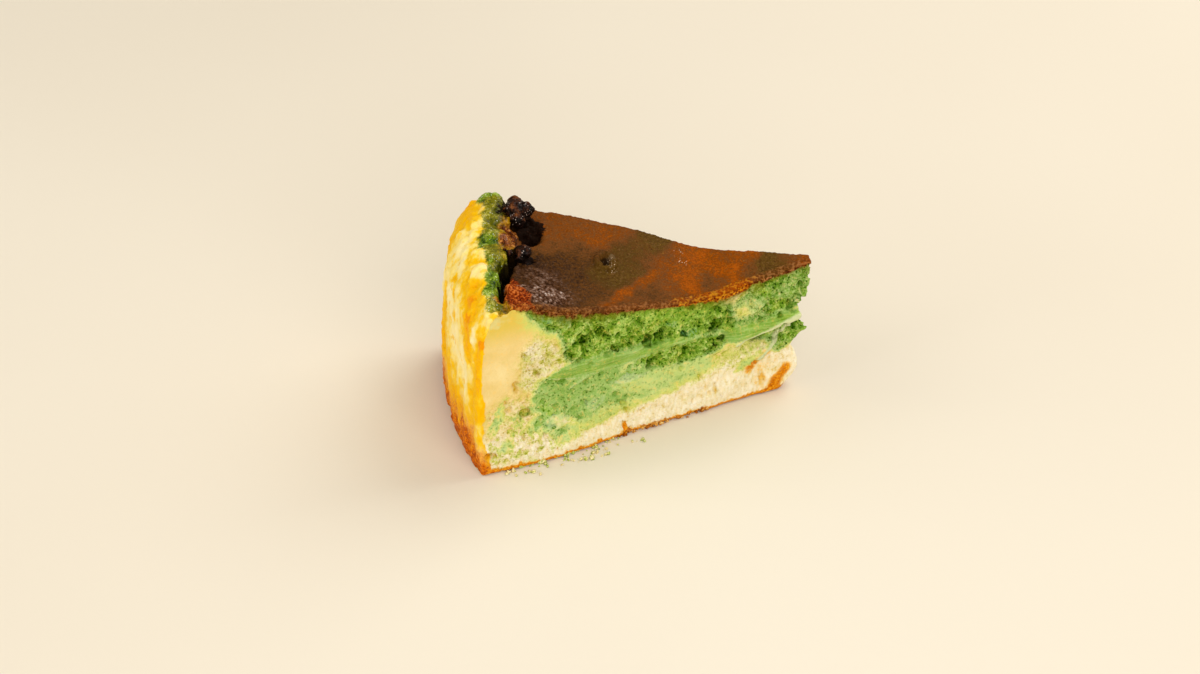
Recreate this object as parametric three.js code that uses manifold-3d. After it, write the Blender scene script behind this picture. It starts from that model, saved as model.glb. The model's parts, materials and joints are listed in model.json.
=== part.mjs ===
// A slice of Basque burnt cheesecake, lying on its base. Millimetres, +Z up.
// The tip points along +X and the browned outer side faces -X. The two cut faces meet at the
// tip: the near one looks towards -Y, the far one towards +Y. The origin is the middle of the
// floor of the slice's box.
import * as THREE from 'three';
import { ImprovedNoise } from 'three/addons/math/ImprovedNoise.js';
import { mergeVertices } from 'three/addons/utils/BufferGeometryUtils.js';
import Module from 'manifold-3d';

// The wedge in plan. Radii run from the middle of the whole cake, angles in degrees from the
// near cut to the far one.
const sliceAngle = 36;
const nearCornerRadius = 119.5;
const baseRadius = [[0, 119.5], [5, 120.1], [10, 120.4], [17, 120.7], [23, 121.2], [36, 120.6]];
const tipHalfWidth = 1.3;
const tipFade = 7;

// Heights of the burnt top along the near cut and along the far cut: [radius, height].
const nearCrown = [
  [0, 49.7], [20, 47.5], [35, 45.8], [50, 47], [70, 50.3], [90, 55.6], [106, 60.8], [112, 61.6],
];
const farCrown = [[0, 49.8], [20, 49.9], [36, 48.8], [50, 51.5], [68, 55.1], [83, 56.8], [104, 57.8]];

// The outer side leans in as it rises: [height, distance]. Beside the near cut it leans by a
// share of that, and in full from the given angle on.
const sideLean = [[0, 0.7], [3, 0], [14, -0.2], [28, 0.5], [41, 1], [52, 2.1]];
const nearLeanShare = 0.6;
const fullLeanAngle = 18;
const shoulderHeight = 52;

// The raised rim and the crevice between it and the burnt top, by angle.
const creviceRadius = [
  [0, 109.8], [2.6, 109.2], [5, 107.3], [10, 102.8], [16, 100.4], [24, 100.4], [36, 102],
];
const creviceDepth = [
  [0, 1.6], [2, 5], [8, 6.5], [12, 5.5], [16, 3.5], [20, 1.8], [28, 1.8], [32, 3], [36, 2.4],
];
const creviceInnerWidth = 1.5;
const creviceOuterWidth = 2.7;
const creviceSteepness = 1.5;
const rimStart = -0.5;
const rimEnd = 2;
const rimHeight = [[0, 60.6], [3, 61], [12, 61.8], [20, 62.2], [30, 62.6], [36, 62.2]];
const rimCrestRadius = [[0, 112.4], [3, 111.8], [10, 109.8], [17, 108.4], [36, 107.8]];
const shoulderFall = 1.7;
const rimKnobs = 0.8;
const rimKnobLength = 6;

// The tip's ragged outline, seen from the side: [height, radius].
const tipOutline = [
  [0, 10.5], [3, 7], [5.5, 4.2], [12, 4.4], [16.5, 7.4], [20, 4.6], [23, 1.2],
  [27, 4.6], [33, 4.5], [36, 2.5], [40, 1.1], [44, 0.7], [49.7, 1.1],
];

// Swollen knobs of the rim, and hollows, mounds and blisters of the burnt top.
const topMarks = [
  { radius: 104.8, angle: 30.6, size: 7.5, rise: 1.4 },
  { radius: 107, angle: 34.2, size: 4, rise: 1.6 },
  { radius: 104.4, angle: 23, size: 5.8, rise: 1.6 },
  { radius: 104.6, angle: 16.6, size: 6, rise: 1.4 },
  { radius: 108.8, angle: 7, size: 5.8, rise: 1.2 },
  { radius: 100.4, angle: 26.8, size: 2.8, rise: 1.4 },
  { radius: 110.8, angle: 11.7, size: 3.6, rise: 1.8 },
  { radius: 92.3, angle: 26.6, size: 5, rise: -6.5 },
  { radius: 98.2, angle: 24.4, size: 3.2, rise: 1.6 },
  { radius: 68.1, angle: 19.2, size: 4.6, rise: 1.3 },
  { radius: 68.1, angle: 19.2, size: 2.3, rise: -2.6 },
  { radius: 98.5, angle: 4.2, size: 9, rise: 1.2 },
];
const crustSwell = 0.7;
const crustSwellLength = 19;

// Burnt sugar lumps that stand on the rim's inner edge: radius, angle, height, half width.
const charLumps = [
  { radius: 97.8, angle: 31.3, height: 61.6, size: 4.8, detail: 4 },
  { radius: 93.2, angle: 32.4, height: 61.4, size: 2.1, detail: 3 },
  { radius: 95.6, angle: 18.2, height: 60, size: 3.4, detail: 3 },
  { radius: 99.4, angle: 18, height: 60.8, size: 1.9, detail: 2 },
];
const lumpRoughness = 0.34;
const lumpKnobLength = 1.8;

// The near cut face: pits, knife ridges and hollows. Along runs in from the outer side and
// up runs from the base.
const nearPits = [
  { along: 36, up: 43, size: 3.4, depth: 2 },
  { along: 43, up: 44, size: 3, depth: 1.8 },
  { along: 48, up: 35, size: 2.6, depth: 1.6 },
  { along: 59.5, up: 34, size: 3.6, depth: 3 },
  { along: 64.5, up: 35, size: 3.4, depth: 3 },
  { along: 73, up: 33, size: 2.8, depth: 1.6 },
  { along: 85, up: 32, size: 5, depth: 2.8 },
  { along: 87, up: 27, size: 3, depth: 2 },
  { along: 62, up: 24, size: 3.4, depth: 2 },
  { along: 15, up: 19.5, size: 3.4, depth: 2.2 },
  { along: 12, up: 31, size: 2.8, depth: 1.6 },
  { along: 102, up: 11, size: 6, depth: 1.8 },
];
const nearRidges = [
  { from: [22, 32], to: [62, 32.5], width: 3.2, rise: 0.9 },
  { from: [62, 32.5], to: [90, 29.5], width: 2.6, rise: 0.7 },
  { from: [85, 24], to: [116, 30], width: 2.8, rise: 1.5 },
  { from: [98, 14], to: [111, 26], width: 2.4, rise: 1.2 },
  { from: [95, 21.5], to: [108, 23.5], width: 3.4, rise: -3.4 },
];
const baseBulge = { along: 24, length: 34, height: 24, rise: 2.4 };

// The far cut face has the same kinds of marks, drawn from a seeded series.
const farPitCount = 16;
const farPitRange = { along: [18, 104], up: [10, 44], size: [2.4, 4.4], depth: [1.2, 2.8] };
const farSeed = 7;
const farRidges = [
  { from: [16, 27], to: [58, 35], width: 3.2, rise: 0.9 },
  { from: [52, 21], to: [98, 27], width: 2.8, rise: 1 },
];

// Crumb relief of the cut faces, which is fainter near the outer side. It dies away below the
// top edge, where the crust stands out as a lip, and it never cuts far into the narrow tip.
const crumbRise = 0.75;
const crumbLength = 5.2;
const faintCrumb = { share: 0.3, from: 12, to: 34 };
const crumbTopFade = 0.12;
const deepestShare = 0.3;
const crustLip = 0.7;
const crustLipLevel = 0.93;
const crustLipStart = [8, 16];

// Broad waves of the outer side, and shallow upright folds that wander as they rise.
const sideWave = 0.7;
const sideWaveLength = 9;
const sideWaveHeight = 20;
const sideFoldRise = 0.55;
const sideFoldAngles = [1.6, 5.5, 9, 15.5, 22, 27.5, 33];
const sideFoldWidth = 1.5;
const sideFoldWander = 1.4;
const sideFoldWanderHeight = 16;
const sideFoldMiddle = 30;
const sideFoldReach = 34;
const sideTopFade = 0.15;

// Places in the noise where each kind of relief is read, so that no two are alike.
const noiseLayer = { crust: 4.5, rim: 1.5, nearCut: 0.5, farCut: 6.5, sideWave: 9.5, sideFold: 2.5 };

// The underside is flat inside a foot that rounds up a little. The flat sole has a corner at
// the tip, at each end of the outer side and at its middle, as [radius, angle], and its sides
// bow in between them, so the slice sits firmly on its corners.
const footLift = 0.3;
const soleCorners = [[13, 18], [118, 0.6], [119.4, 18], [119, 35.4]];
const soleBow = 0.4;
const soleLongCells = 46;
const soleShortCells = 12;

// Sizes of the surface's own facets.
const crustRows = 45;
const rimRows = 8;
const creviceOffsets = [-2.1, -1.3, -0.7, 0, 0.9, 1.8, 2.8];
const levels = 24;
const cellWidth = 2.3;
const shortestEdge = 0.04;

const noise = new ImprovedNoise();
const degrees = Math.PI / 180;
const { lerp, clamp, smoothstep } = THREE.MathUtils;

// A smooth curve through [position, value] pairs, level beyond its ends.
function through(points) {
  const last = points.length - 1;
  const slope = (index) => {
    const before = points[Math.max(index - 1, 0)];
    const after = points[Math.min(index + 1, last)];
    return (after[1] - before[1]) / (after[0] - before[0]);
  };
  return (position) => {
    const at = clamp(position, points[0][0], points[last][0]);
    const index = Math.min(points.findLastIndex((point) => point[0] <= at), last - 1);
    const span = points[index + 1][0] - points[index][0];
    const t = (at - points[index][0]) / span;
    const bend = t * (1 - t) * span;
    const straight = lerp(points[index][1], points[index + 1][1], t * t * (3 - 2 * t));
    return straight + bend * ((1 - t) * slope(index) - t * slope(index + 1));
  };
}

const nearCrownAt = through(nearCrown);
const farCrownAt = through(farCrown);
const baseRadiusAt = through(baseRadius);
const sideLeanAt = through(sideLean);
const creviceRadiusAt = through(creviceRadius);
const creviceDepthAt = through(creviceDepth);
const rimHeightAt = through(rimHeight);
const rimCrestAt = through(rimCrestRadius);
const tipRadiusAt = through(tipOutline);

// One at the middle of a mark, falling smoothly to nothing at its edge.
function bump(distance, halfWidth) {
  const share = clamp(1 - (distance / halfWidth) ** 2, 0, 1);
  return share * share;
}

// The point at a radius, an angle from the near cut and a height.
function polar(radius, angle, height) {
  const turn = (180 + sliceAngle / 2 - angle) * degrees;
  return new THREE.Vector3(radius * Math.cos(turn), radius * Math.sin(turn), height);
}

// The outer side's radius, which leans in towards the shoulder.
function sideRadius(angle, height) {
  const leanShare = lerp(nearLeanShare, 1, smoothstep(angle, 0, fullLeanAngle));
  return baseRadiusAt(angle) - leanShare * sideLeanAt(height);
}

// The height of the burnt top, the crevice, the rim or the shoulder.
function topHeight(radius, angle) {
  const place = polar(radius, angle, 0);
  const crown = lerp(nearCrownAt(radius), farCrownAt(radius), smoothstep(angle, 0, sliceAngle));
  const swell = crustSwell
    * noise.noise(place.x / crustSwellLength, place.y / crustSwellLength, noiseLayer.crust);
  const shoulder = sideRadius(angle, shoulderHeight);
  const crest = rimCrestAt(angle);
  const outward = clamp((radius - crest) / (shoulder - crest), 0, 1);
  const rim = lerp(rimHeightAt(angle), shoulderHeight, outward ** shoulderFall);
  const knobs = rimKnobs * (1 - outward)
    * noise.noise(place.x / rimKnobLength, place.y / rimKnobLength, noiseLayer.rim);
  const crevice = creviceRadiusAt(angle);
  const overRim = smoothstep(radius, crevice + rimStart, crevice + rimEnd);
  let height = lerp(crown + swell, rim + knobs, overRim);
  const creviceWidth = radius < crevice ? creviceInnerWidth : creviceOuterWidth;
  const sunk = Math.min(1, creviceSteepness * bump(radius - crevice, creviceWidth));
  height -= creviceDepthAt(angle) * sunk;
  for (const mark of topMarks) {
    const distance = place.distanceTo(polar(mark.radius, mark.angle, 0));
    height += mark.rise * bump(distance, mark.size);
  }
  return height;
}

// The distance from a point of a cut face to a straight ridge on it.
function ridgeDistance(along, up, ridge) {
  const line = new THREE.Line3(
    new THREE.Vector3(...ridge.from, 0),
    new THREE.Vector3(...ridge.to, 0),
  );
  const point = new THREE.Vector3(along, up, 0);
  return point.distanceTo(line.closestPointToPoint(point, true, new THREE.Vector3()));
}

// How far a point of a cut face stands out from its plane.
function cutRelief(along, up, pits, ridges, layer) {
  let rise = crumbRise * noise.noise(along / crumbLength, up / crumbLength, layer);
  rise *= lerp(faintCrumb.share, 1, smoothstep(along, faintCrumb.from, faintCrumb.to));
  rise -= pits.reduce((sum, pit) => (
    sum + pit.depth * bump(Math.hypot(along - pit.along, up - pit.up), pit.size)), 0);
  rise += ridges.reduce((sum, ridge) => (
    sum + ridge.rise * bump(ridgeDistance(along, up, ridge), ridge.width)), 0);
  rise += baseBulge.rise * bump(along - baseBulge.along, baseBulge.length) * bump(up, baseBulge.height);
  return rise;
}

// Pits of the far cut face, one in each of as many equal stretches along it.
function drawPits() {
  let seed = farSeed;
  const draw = (low, high) => {
    seed += 1;
    return lerp(low, high, THREE.MathUtils.seededRandom(seed));
  };
  return Array.from({ length: farPitCount }, (_, index) => ({
    along: lerp(...farPitRange.along, (index + draw(0, 1)) / farPitCount),
    up: draw(...farPitRange.up),
    size: draw(...farPitRange.size),
    depth: draw(...farPitRange.depth),
  }));
}
const farPits = drawPits();

// How far a point of the outer side stands out: broad waves and shallow upright folds.
function sideRelief(angle, up) {
  const arc = angle * degrees * nearCornerRadius;
  const wave = sideWave
    * noise.noise(arc / sideWaveLength, up / sideWaveHeight, noiseLayer.sideWave);
  const wander = sideFoldWander
    * noise.noise(up / sideFoldWanderHeight, noiseLayer.sideWave, noiseLayer.sideFold);
  const folds = sideFoldAngles.reduce((sum, foldAngle) => (
    sum + sideFoldRise * bump(angle + wander - foldAngle, sideFoldWidth)), 0);
  return wave + folds * bump(up - sideFoldMiddle, sideFoldReach);
}

const rowCount = crustRows + creviceOffsets.length + rimRows;

// The radius of a row of the top at an angle, tip first. The rows crowd together at the
// crevice and follow it.
function rowRadius(row, angle) {
  const crevice = creviceRadiusAt(angle);
  const shoulder = sideRadius(angle, shoulderHeight);
  const first = creviceOffsets[0];
  const last = creviceOffsets.at(-1);
  if (row < crustRows) return lerp(tipOutline.at(-1)[1], crevice + first, row / crustRows);
  if (row < crustRows + creviceOffsets.length) return crevice + creviceOffsets[row - crustRows];
  return lerp(crevice + last, shoulder, (row + 1 - crustRows - creviceOffsets.length) / rimRows);
}

// The surface point of a row, across from the near cut (0) to the far one (1), at a level
// from the base (0) to the top (1).
function surfacePoint(row, across, level) {
  const angle = across * sliceAngle;
  const tipTop = tipOutline.at(-1)[0];
  const tip = rowRadius(0, angle);
  const shoulder = rowRadius(rowCount - 1, angle);
  const share = (rowRadius(row, angle) - tip) / (shoulder - tip);
  const height = lerp(footLift, topHeight(rowRadius(row, angle), angle), level);
  const radius = lerp(tipRadiusAt(level * tipTop), sideRadius(angle, level * shoulderHeight), share);
  const point = polar(radius, angle, height);
  const width = 2 * radius * Math.sin(sliceAngle * degrees / 2) + 2 * tipHalfWidth;
  point.y += (2 * across - 1) * tipHalfWidth * Math.exp(-radius / tipFade);
  const along = nearCornerRadius - radius;
  if (across === 0 || across === 1) {
    const near = across === 0;
    const relief = near
      ? cutRelief(along, height, nearPits, nearRidges, noiseLayer.nearCut)
      : cutRelief(along, height, farPits, farRidges, noiseLayer.farCut);
    const lip = crustLip * smoothstep(level, crustLipLevel, 1) * smoothstep(along, ...crustLipStart);
    const faded = relief * smoothstep(1 - level, 0, crumbTopFade);
    const out = Math.max(faded + lip, -deepestShare * width);
    const turn = (near ? 270 + sliceAngle / 2 : 90 - sliceAngle / 2) * degrees;
    point.x += out * Math.cos(turn);
    point.y += out * Math.sin(turn);
  }
  if (row === rowCount - 1) {
    point.add(polar(sideRelief(angle, height) * smoothstep(1 - level, 0, sideTopFade), angle, 0));
  }
  return point;
}

// A list of points from a function of a share that runs from 0 to 1.
function line(cells, pointAt) {
  return Array.from({ length: cells + 1 }, (_, index) => pointAt(index / cells));
}

// Triangles between two lines of points, whatever their counts. Seen from outside, the
// second line lies to the left of the first one's direction. The lines may share an end.
function zip(triangles, first, second) {
  const add = (a, b, c) => {
    if (!a.equals(c) && !b.equals(c)) triangles.push(a, b, c);
  };
  let i = 0;
  let j = 0;
  while (i < first.length - 1 || j < second.length - 1) {
    const firstShare = (i + 0.5) / (first.length - 1);
    const secondShare = (j + 0.5) / (second.length - 1);
    if (j === second.length - 1 || (i < first.length - 1 && firstShare <= secondShare)) {
      add(first[i], first[i + 1], second[j]);
      i += 1;
    } else {
      add(second[j + 1], second[j], first[i]);
      j += 1;
    }
  }
}

// The underside: a strip from each face's foot to the flat sole, and the sole itself.
function addUnderside(triangles, nearFoot, sideFoot, farFoot) {
  const [tip, near, back, far] = soleCorners.map(([radius, angle]) => polar(radius, angle, 0));
  const up = new THREE.Vector3(0, 0, 1);
  const side = (from, to, cells) => line(cells, (share) => {
    const inward = to.clone().sub(from).normalize().cross(up);
    const bow = 4 * share * (1 - share) * soleBow;
    return from.clone().lerp(to, share).addScaledVector(inward, bow);
  });
  const nearSole = side(tip, near, soleLongCells);
  const firstSole = side(near, back, soleShortCells);
  const secondSole = side(back, far, soleShortCells);
  const farSole = side(far, tip, soleLongCells);
  const sideSole = [...firstSole, ...secondSole.slice(1)];
  zip(triangles, nearFoot, nearSole);
  zip(triangles, sideFoot, sideSole);
  zip(triangles, farFoot.toReversed(), farSole);
  zip(triangles, [farFoot[0], nearFoot[0]], [tip]);
  zip(triangles, nearSole, farSole.toReversed());
  zip(triangles, firstSole, secondSole.toReversed());
}

// The slice's closed surface, face by face.
function sliceGeometry() {
  const triangles = [];
  const lastRow = rowCount - 1;
  const column = (row, across) => line(levels, (level) => surfacePoint(row, across, level));
  const topRow = (row) => {
    const arc = rowRadius(row, sliceAngle / 2) * sliceAngle * degrees;
    return line(Math.max(1, Math.round(arc / cellWidth)), (across) => surfacePoint(row, across, 1));
  };
  const nearColumns = Array.from({ length: rowCount }, (_, row) => column(row, 0));
  const farColumns = Array.from({ length: rowCount }, (_, row) => column(row, 1));
  const topRows = Array.from({ length: rowCount }, (_, row) => topRow(row));
  const sideCells = topRows[lastRow].length - 1;
  const sideColumns = line(sideCells, (across) => column(lastRow, across));
  for (let row = 0; row < lastRow; row += 1) {
    zip(triangles, nearColumns[row], nearColumns[row + 1]);
    zip(triangles, farColumns[row + 1], farColumns[row]);
    zip(triangles, topRows[row], topRows[row + 1]);
  }
  sideColumns.slice(1).forEach((next, index) => zip(triangles, sideColumns[index], next));
  zip(triangles, farColumns[0], nearColumns[0]);

  const foot = (columns) => columns.map((points) => points[0]);
  addUnderside(triangles, foot(nearColumns), foot(sideColumns), foot(farColumns));
  return new THREE.BufferGeometry().setFromPoints(triangles);
}

// A knobbly lump of burnt sugar.
function lumpGeometry(lump) {
  const geometry = mergeVertices(bare(new THREE.IcosahedronGeometry(lump.size, lump.detail)));
  const position = geometry.attributes.position;
  const centre = polar(lump.radius, lump.angle, lump.height);
  for (let index = 0; index < position.count; index += 1) {
    const point = new THREE.Vector3().fromBufferAttribute(position, index);
    const grain = point.clone().divideScalar(lumpKnobLength).add(centre);
    point.multiplyScalar(1 + lumpRoughness * noise.noise(grain.x, grain.y, grain.z));
    position.setXYZ(index, point.x + centre.x, point.y + centre.y, point.z + centre.z);
  }
  return geometry;
}

// A geometry with nothing left but its positions.
function bare(geometry) {
  geometry.deleteAttribute('normal');
  geometry.deleteAttribute('uv');
  return geometry;
}

const wasm = await Module();
wasm.setup();

// A closed mesh as a solid that can be joined.
function solid(geometry) {
  const merged = mergeVertices(bare(geometry));
  return new wasm.Manifold(new wasm.Mesh({
    numProp: 3,
    vertProperties: new Float32Array(merged.attributes.position.array),
    triVerts: new Uint32Array(merged.index.array),
  }));
}

// The slice and its lumps as one body, set on the middle of its box's floor. A pocket that a
// lump closes over is filled.
function joinedGeometry() {
  const joined = charLumps.reduce((whole, lump) => whole.add(solid(lumpGeometry(lump))),
    solid(sliceGeometry()));
  const shells = joined.simplify(shortestEdge).decompose();
  shells.sort((first, second) => second.volume() - first.volume());
  const mesh = shells[0].getMesh();
  const geometry = new THREE.BufferGeometry();
  geometry.setAttribute('position', new THREE.BufferAttribute(mesh.vertProperties, 3));
  geometry.setIndex(new THREE.BufferAttribute(mesh.triVerts, 1));
  geometry.computeBoundingBox();
  const middle = geometry.boundingBox.getCenter(new THREE.Vector3());
  geometry.translate(-middle.x, -middle.y, -geometry.boundingBox.min.z);
  geometry.computeVertexNormals();
  return geometry;
}

const cake = new THREE.MeshStandardMaterial({ color: 0x8fae5a, roughness: 0.75, metalness: 0 });
const slice = new THREE.Mesh(joinedGeometry(), cake);
slice.name = 'cheesecake_slice';

const group = new THREE.Group();
group.add(slice);

export default group;
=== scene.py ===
import json
import math

import bpy
import numpy as np
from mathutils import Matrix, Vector, noise
from mathutils.bvhtree import BVHTree
from mathutils.kdtree import KDTree

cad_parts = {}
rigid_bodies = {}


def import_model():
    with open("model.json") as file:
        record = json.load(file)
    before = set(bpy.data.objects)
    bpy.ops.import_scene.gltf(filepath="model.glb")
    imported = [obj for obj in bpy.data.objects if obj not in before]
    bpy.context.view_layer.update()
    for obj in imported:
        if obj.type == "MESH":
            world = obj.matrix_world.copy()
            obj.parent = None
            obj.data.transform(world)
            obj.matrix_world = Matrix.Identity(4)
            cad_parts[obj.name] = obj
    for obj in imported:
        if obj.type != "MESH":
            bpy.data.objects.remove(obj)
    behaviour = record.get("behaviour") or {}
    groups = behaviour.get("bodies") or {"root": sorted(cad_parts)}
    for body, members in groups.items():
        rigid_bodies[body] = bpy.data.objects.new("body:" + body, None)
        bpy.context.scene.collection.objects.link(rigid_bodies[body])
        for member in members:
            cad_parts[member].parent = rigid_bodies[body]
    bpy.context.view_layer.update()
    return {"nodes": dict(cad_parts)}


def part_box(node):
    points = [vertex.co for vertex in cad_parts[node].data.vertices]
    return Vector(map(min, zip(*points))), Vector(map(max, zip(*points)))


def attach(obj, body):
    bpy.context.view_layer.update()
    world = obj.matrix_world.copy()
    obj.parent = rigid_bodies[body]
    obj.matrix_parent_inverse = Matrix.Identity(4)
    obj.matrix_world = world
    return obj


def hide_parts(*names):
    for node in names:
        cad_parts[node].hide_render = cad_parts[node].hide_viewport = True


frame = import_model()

# The view and the light: a long lens looks down on the slice from in front. A big soft box
# stands behind it on the right, two more light it from the front and from the left, and it
# all stands on a plain cream-white table. Lengths are metres here, and MM is a millimetre.
MM = 0.001
bpy.ops.object.camera_add(
    location=(-0.11462, -0.74852, 0.549),
    rotation=(math.radians(55.256), 0, math.radians(-8.03)),
)
camera = bpy.context.object
camera.name = "camera"
camera.data.lens = 84
camera.data.sensor_width = 36
camera.data.clip_start = 0.01
bpy.context.scene.camera = camera
bpy.context.scene.view_settings.view_transform = "Standard"


def soft_box(name, place, width, watts):
    """A square lamp of a warm white that faces the slice."""
    bpy.ops.object.light_add(type="AREA", location=place)
    lamp = bpy.context.object
    lamp.name = name
    lamp.data.shape = "SQUARE"
    lamp.data.size = width
    lamp.data.energy = watts
    lamp.data.color = (1.0, 0.99, 0.95)
    lamp.rotation_euler = Vector(place).to_track_quat("Z", "Y").to_euler()


soft_box("key_light", (0.62, 0.36, 0.85), 0.8, 7.4)
soft_box("front_light", (0.15, -1.0, 0.6), 0.9, 8.6)
soft_box("left_light", (-0.95, -0.1, 0.6), 0.9, 5.6)


def linear(red, green, blue):
    """A colour as it is seen, from 0 to 255, as the linear colour that a material takes."""
    def channel(value):
        share = value / 255
        return share / 12.92 if share <= 0.04045 else ((share + 0.055) / 1.055) ** 2.4
    return (channel(red), channel(green), channel(blue), 1.0)


class Shade:
    """One socket of a material, used in sums as if it were a number."""

    def __init__(self, tree, socket=None):
        self.tree = tree
        self.socket = socket

    def node(self, kind, settings=None, sockets=None, output=0):
        """A new node: its settings are set first, then its sockets by value or by link."""
        made = self.tree.nodes.new(kind)
        for name, value in (settings or {}).items():
            if name == "stops":
                ramp = made.color_ramp.elements
                while len(ramp) < len(value):
                    ramp.new(1.0)
                for stop, (position, *colour) in zip(ramp, value):
                    stop.position = position
                    stop.color = linear(*colour)
            else:
                setattr(made, name, value)
        for name, value in (sockets or {}).items():
            if isinstance(value, Shade):
                self.tree.links.new(value.socket, made.inputs[name])
            else:
                made.inputs[name].default_value = value
        return Shade(self.tree, made.outputs[output] if made.outputs else None)

    def math(self, operation, *values):
        return self.node("ShaderNodeMath", {"operation": operation}, dict(enumerate(values)))

    def __add__(self, other):
        return self.math("ADD", self, other)

    __radd__ = __add__

    def __mul__(self, other):
        return self.math("MULTIPLY", self, other)

    __rmul__ = __mul__

    def __sub__(self, other):
        return self.math("SUBTRACT", self, other)

    def __rsub__(self, other):
        return self.math("SUBTRACT", other, self)

    def __truediv__(self, other):
        return self.math("DIVIDE", self, other)

    def rises(self, low, high):
        """0 up to low, 1 from high on, and smooth between them. It falls where low is the larger."""
        return self.node(
            "ShaderNodeMapRange", {"interpolation_type": "SMOOTHSTEP"},
            {"Value": self, "From Min": low, "From Max": high})

    def tint(self, *stops):
        """A colour from a number, through stops of a position and its red, green and blue."""
        return self.node("ShaderNodeValToRGB", {"stops": stops}, {"Fac": self})

    def between(self, first, second):
        """The first colour where this is 0, the second where it is 1."""
        second = linear(*second) if isinstance(second, tuple) else second
        return self.node(
            "ShaderNodeMix", {"data_type": "RGBA"}, {"Factor": self, 6: first, 7: second}, 2)

    def ladder(self, colour, *steps):
        """A colour that turns into the next one wherever this rises past the next step."""
        for low, high, following in steps:
            colour = self.rises(low, high).between(colour, following)
        return colour

    def held(self, low, high):
        """The number, kept between low and high."""
        return self.node("ShaderNodeClamp", None, {"Value": self, "Min": low, "Max": high})

    def kept(self, name):
        """A value that the mesh carries at its points."""
        return self.node("ShaderNodeAttribute", {"attribute_name": name}, output=2)

    def unrolled(self, across, up):
        """A flat place made of two values in millimetres that the mesh carries, in metres."""
        return self.node(
            "ShaderNodeCombineXYZ", None, {"X": self.kept(across) * MM, "Y": self.kept(up) * MM})

    def clouds(self, size, detail=2.0, roughness=0.5, swirl=0.0, longer=(1, 1, 1), place=None):
        """Soft noise from 0 to 1 whose patches are about size millimetres across."""
        place = place or self.node("ShaderNodeTexCoord", output=3)
        point = self.node(
            "ShaderNodeMapping", None,
            {"Vector": place, "Scale": tuple(1 / stretch for stretch in longer)})
        return self.node(
            "ShaderNodeTexNoise", None,
            {"Vector": point, "Scale": 1 / (size * MM), "Detail": detail, "Roughness": roughness,
             "Distortion": swirl})

    def dots(self, size):
        """The distance to the nearest of many loose points about size millimetres apart, 0 to 1."""
        place = self.node("ShaderNodeTexCoord", output=3)
        return self.node("ShaderNodeTexVoronoi", None, {"Vector": place, "Scale": 1 / (size * MM)})


def surface(name, paint, depth=0.0):
    """A material whose paint function gives colour, roughness, the height of its grain and gloss."""
    material = bpy.data.materials.new(name)
    material.use_nodes = True
    tree = material.node_tree
    tree.nodes.clear()
    start = Shade(tree)
    colour, roughness, height, gloss = paint(start)
    relief = start.node("ShaderNodeBump", None, {"Height": height, "Distance": MM})
    shader = start.node("ShaderNodeBsdfPrincipled", None, {
        "Base Color": colour, "Roughness": roughness, "Normal": relief,
        "Specular IOR Level": 0.03, "Coat Weight": gloss, "Coat Roughness": 0.22,
        "Subsurface Weight": depth, "Subsurface Radius": (1.0, 0.8, 0.4), "Subsurface Scale": 1.2 * MM,
    })
    start.node("ShaderNodeOutputMaterial", None, {"Surface": shader})
    return material


def table_paint(start):
    weave = start.clouds(1.2, detail=3.0)
    broad = start.clouds(350)
    return broad.tint((0.3, 224, 212, 193), (0.7, 229, 218, 200)), weave * 0.1 + 0.62, weave * 0.03, 0.0


table_width = 6
bpy.ops.mesh.primitive_plane_add(size=table_width)
table = bpy.context.object
table.name = "table"
table.data.materials.append(surface("table_paint", table_paint))

world = bpy.data.worlds.new("soft_room")
bpy.context.scene.world = world
world.use_nodes = True
room_light = world.node_tree.nodes["Background"].inputs
room_light["Color"].default_value = (1.0, 0.985, 0.92, 1.0)
room_light["Strength"].default_value = 0.38

# The slice: one wedge of a burnt-top cheesecake, marbled green and cream, on a browned foot.
# It is a finer copy of the solid with the rim's lobes baked on, whose crumb, pores, knobs and
# blisters are then raised and sunk, and whose colours follow that relief. Sizes are millimetres.
slice_angle = 36.0
half_angle = math.radians(slice_angle / 2)
near_cut_turn = 180 + slice_angle / 2
tip_gap = 0.63
cake_middle = np.array([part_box("cheesecake_slice")[1].x / MM + tip_gap, 0.0])
cut_radius = 119.5
voxel = 0.42
most_triangles = 192000


def alone(piece):
    """Makes a piece the only one selected, and active."""
    bpy.ops.object.select_all(action="DESELECT")
    piece.select_set(True)
    bpy.context.view_layer.objects.active = piece


def smoothed(piece):
    """Shades a piece as smooth."""
    alone(piece)
    bpy.ops.object.shade_smooth()


def worked(piece, kind, **settings):
    """Adds one modifier and applies it."""
    alone(piece)
    modifier = piece.modifiers.new("work", kind)
    for name, value in settings.items():
        setattr(modifier, name, value)
    bpy.ops.object.modifier_apply(modifier=modifier.name)


def numbers(piece, what):
    """A triple of numbers for each point of a piece, such as its place or its normal."""
    values = np.empty(len(piece.data.vertices) * 3, np.float32)
    piece.data.vertices.foreach_get(what, values)
    return values.reshape(-1, 3).astype(float)


def placed(piece, places):
    """Puts a piece's points at places in millimetres."""
    piece.data.vertices.foreach_set("co", (places * MM).astype(np.float32).ravel())
    piece.data.update()


def carried(piece, name, values):
    """Lets a piece carry a value at each of its points, for its material."""
    kept = piece.data.attributes.new(name, "FLOAT", "POINT")
    kept.data.foreach_set("value", values.astype(np.float32))


def rises(value, start, end):
    """0 up to start, 1 from end on, and smooth between them. It falls where start is the larger."""
    share = np.clip((value - start) / (end - start), 0, 1)
    return share * share * (3 - 2 * share)


def compass(at_angle):
    """The turn about the cake's middle of a place at an angle from the near cut, in radians."""
    return math.radians(near_cut_turn - at_angle)


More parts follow.
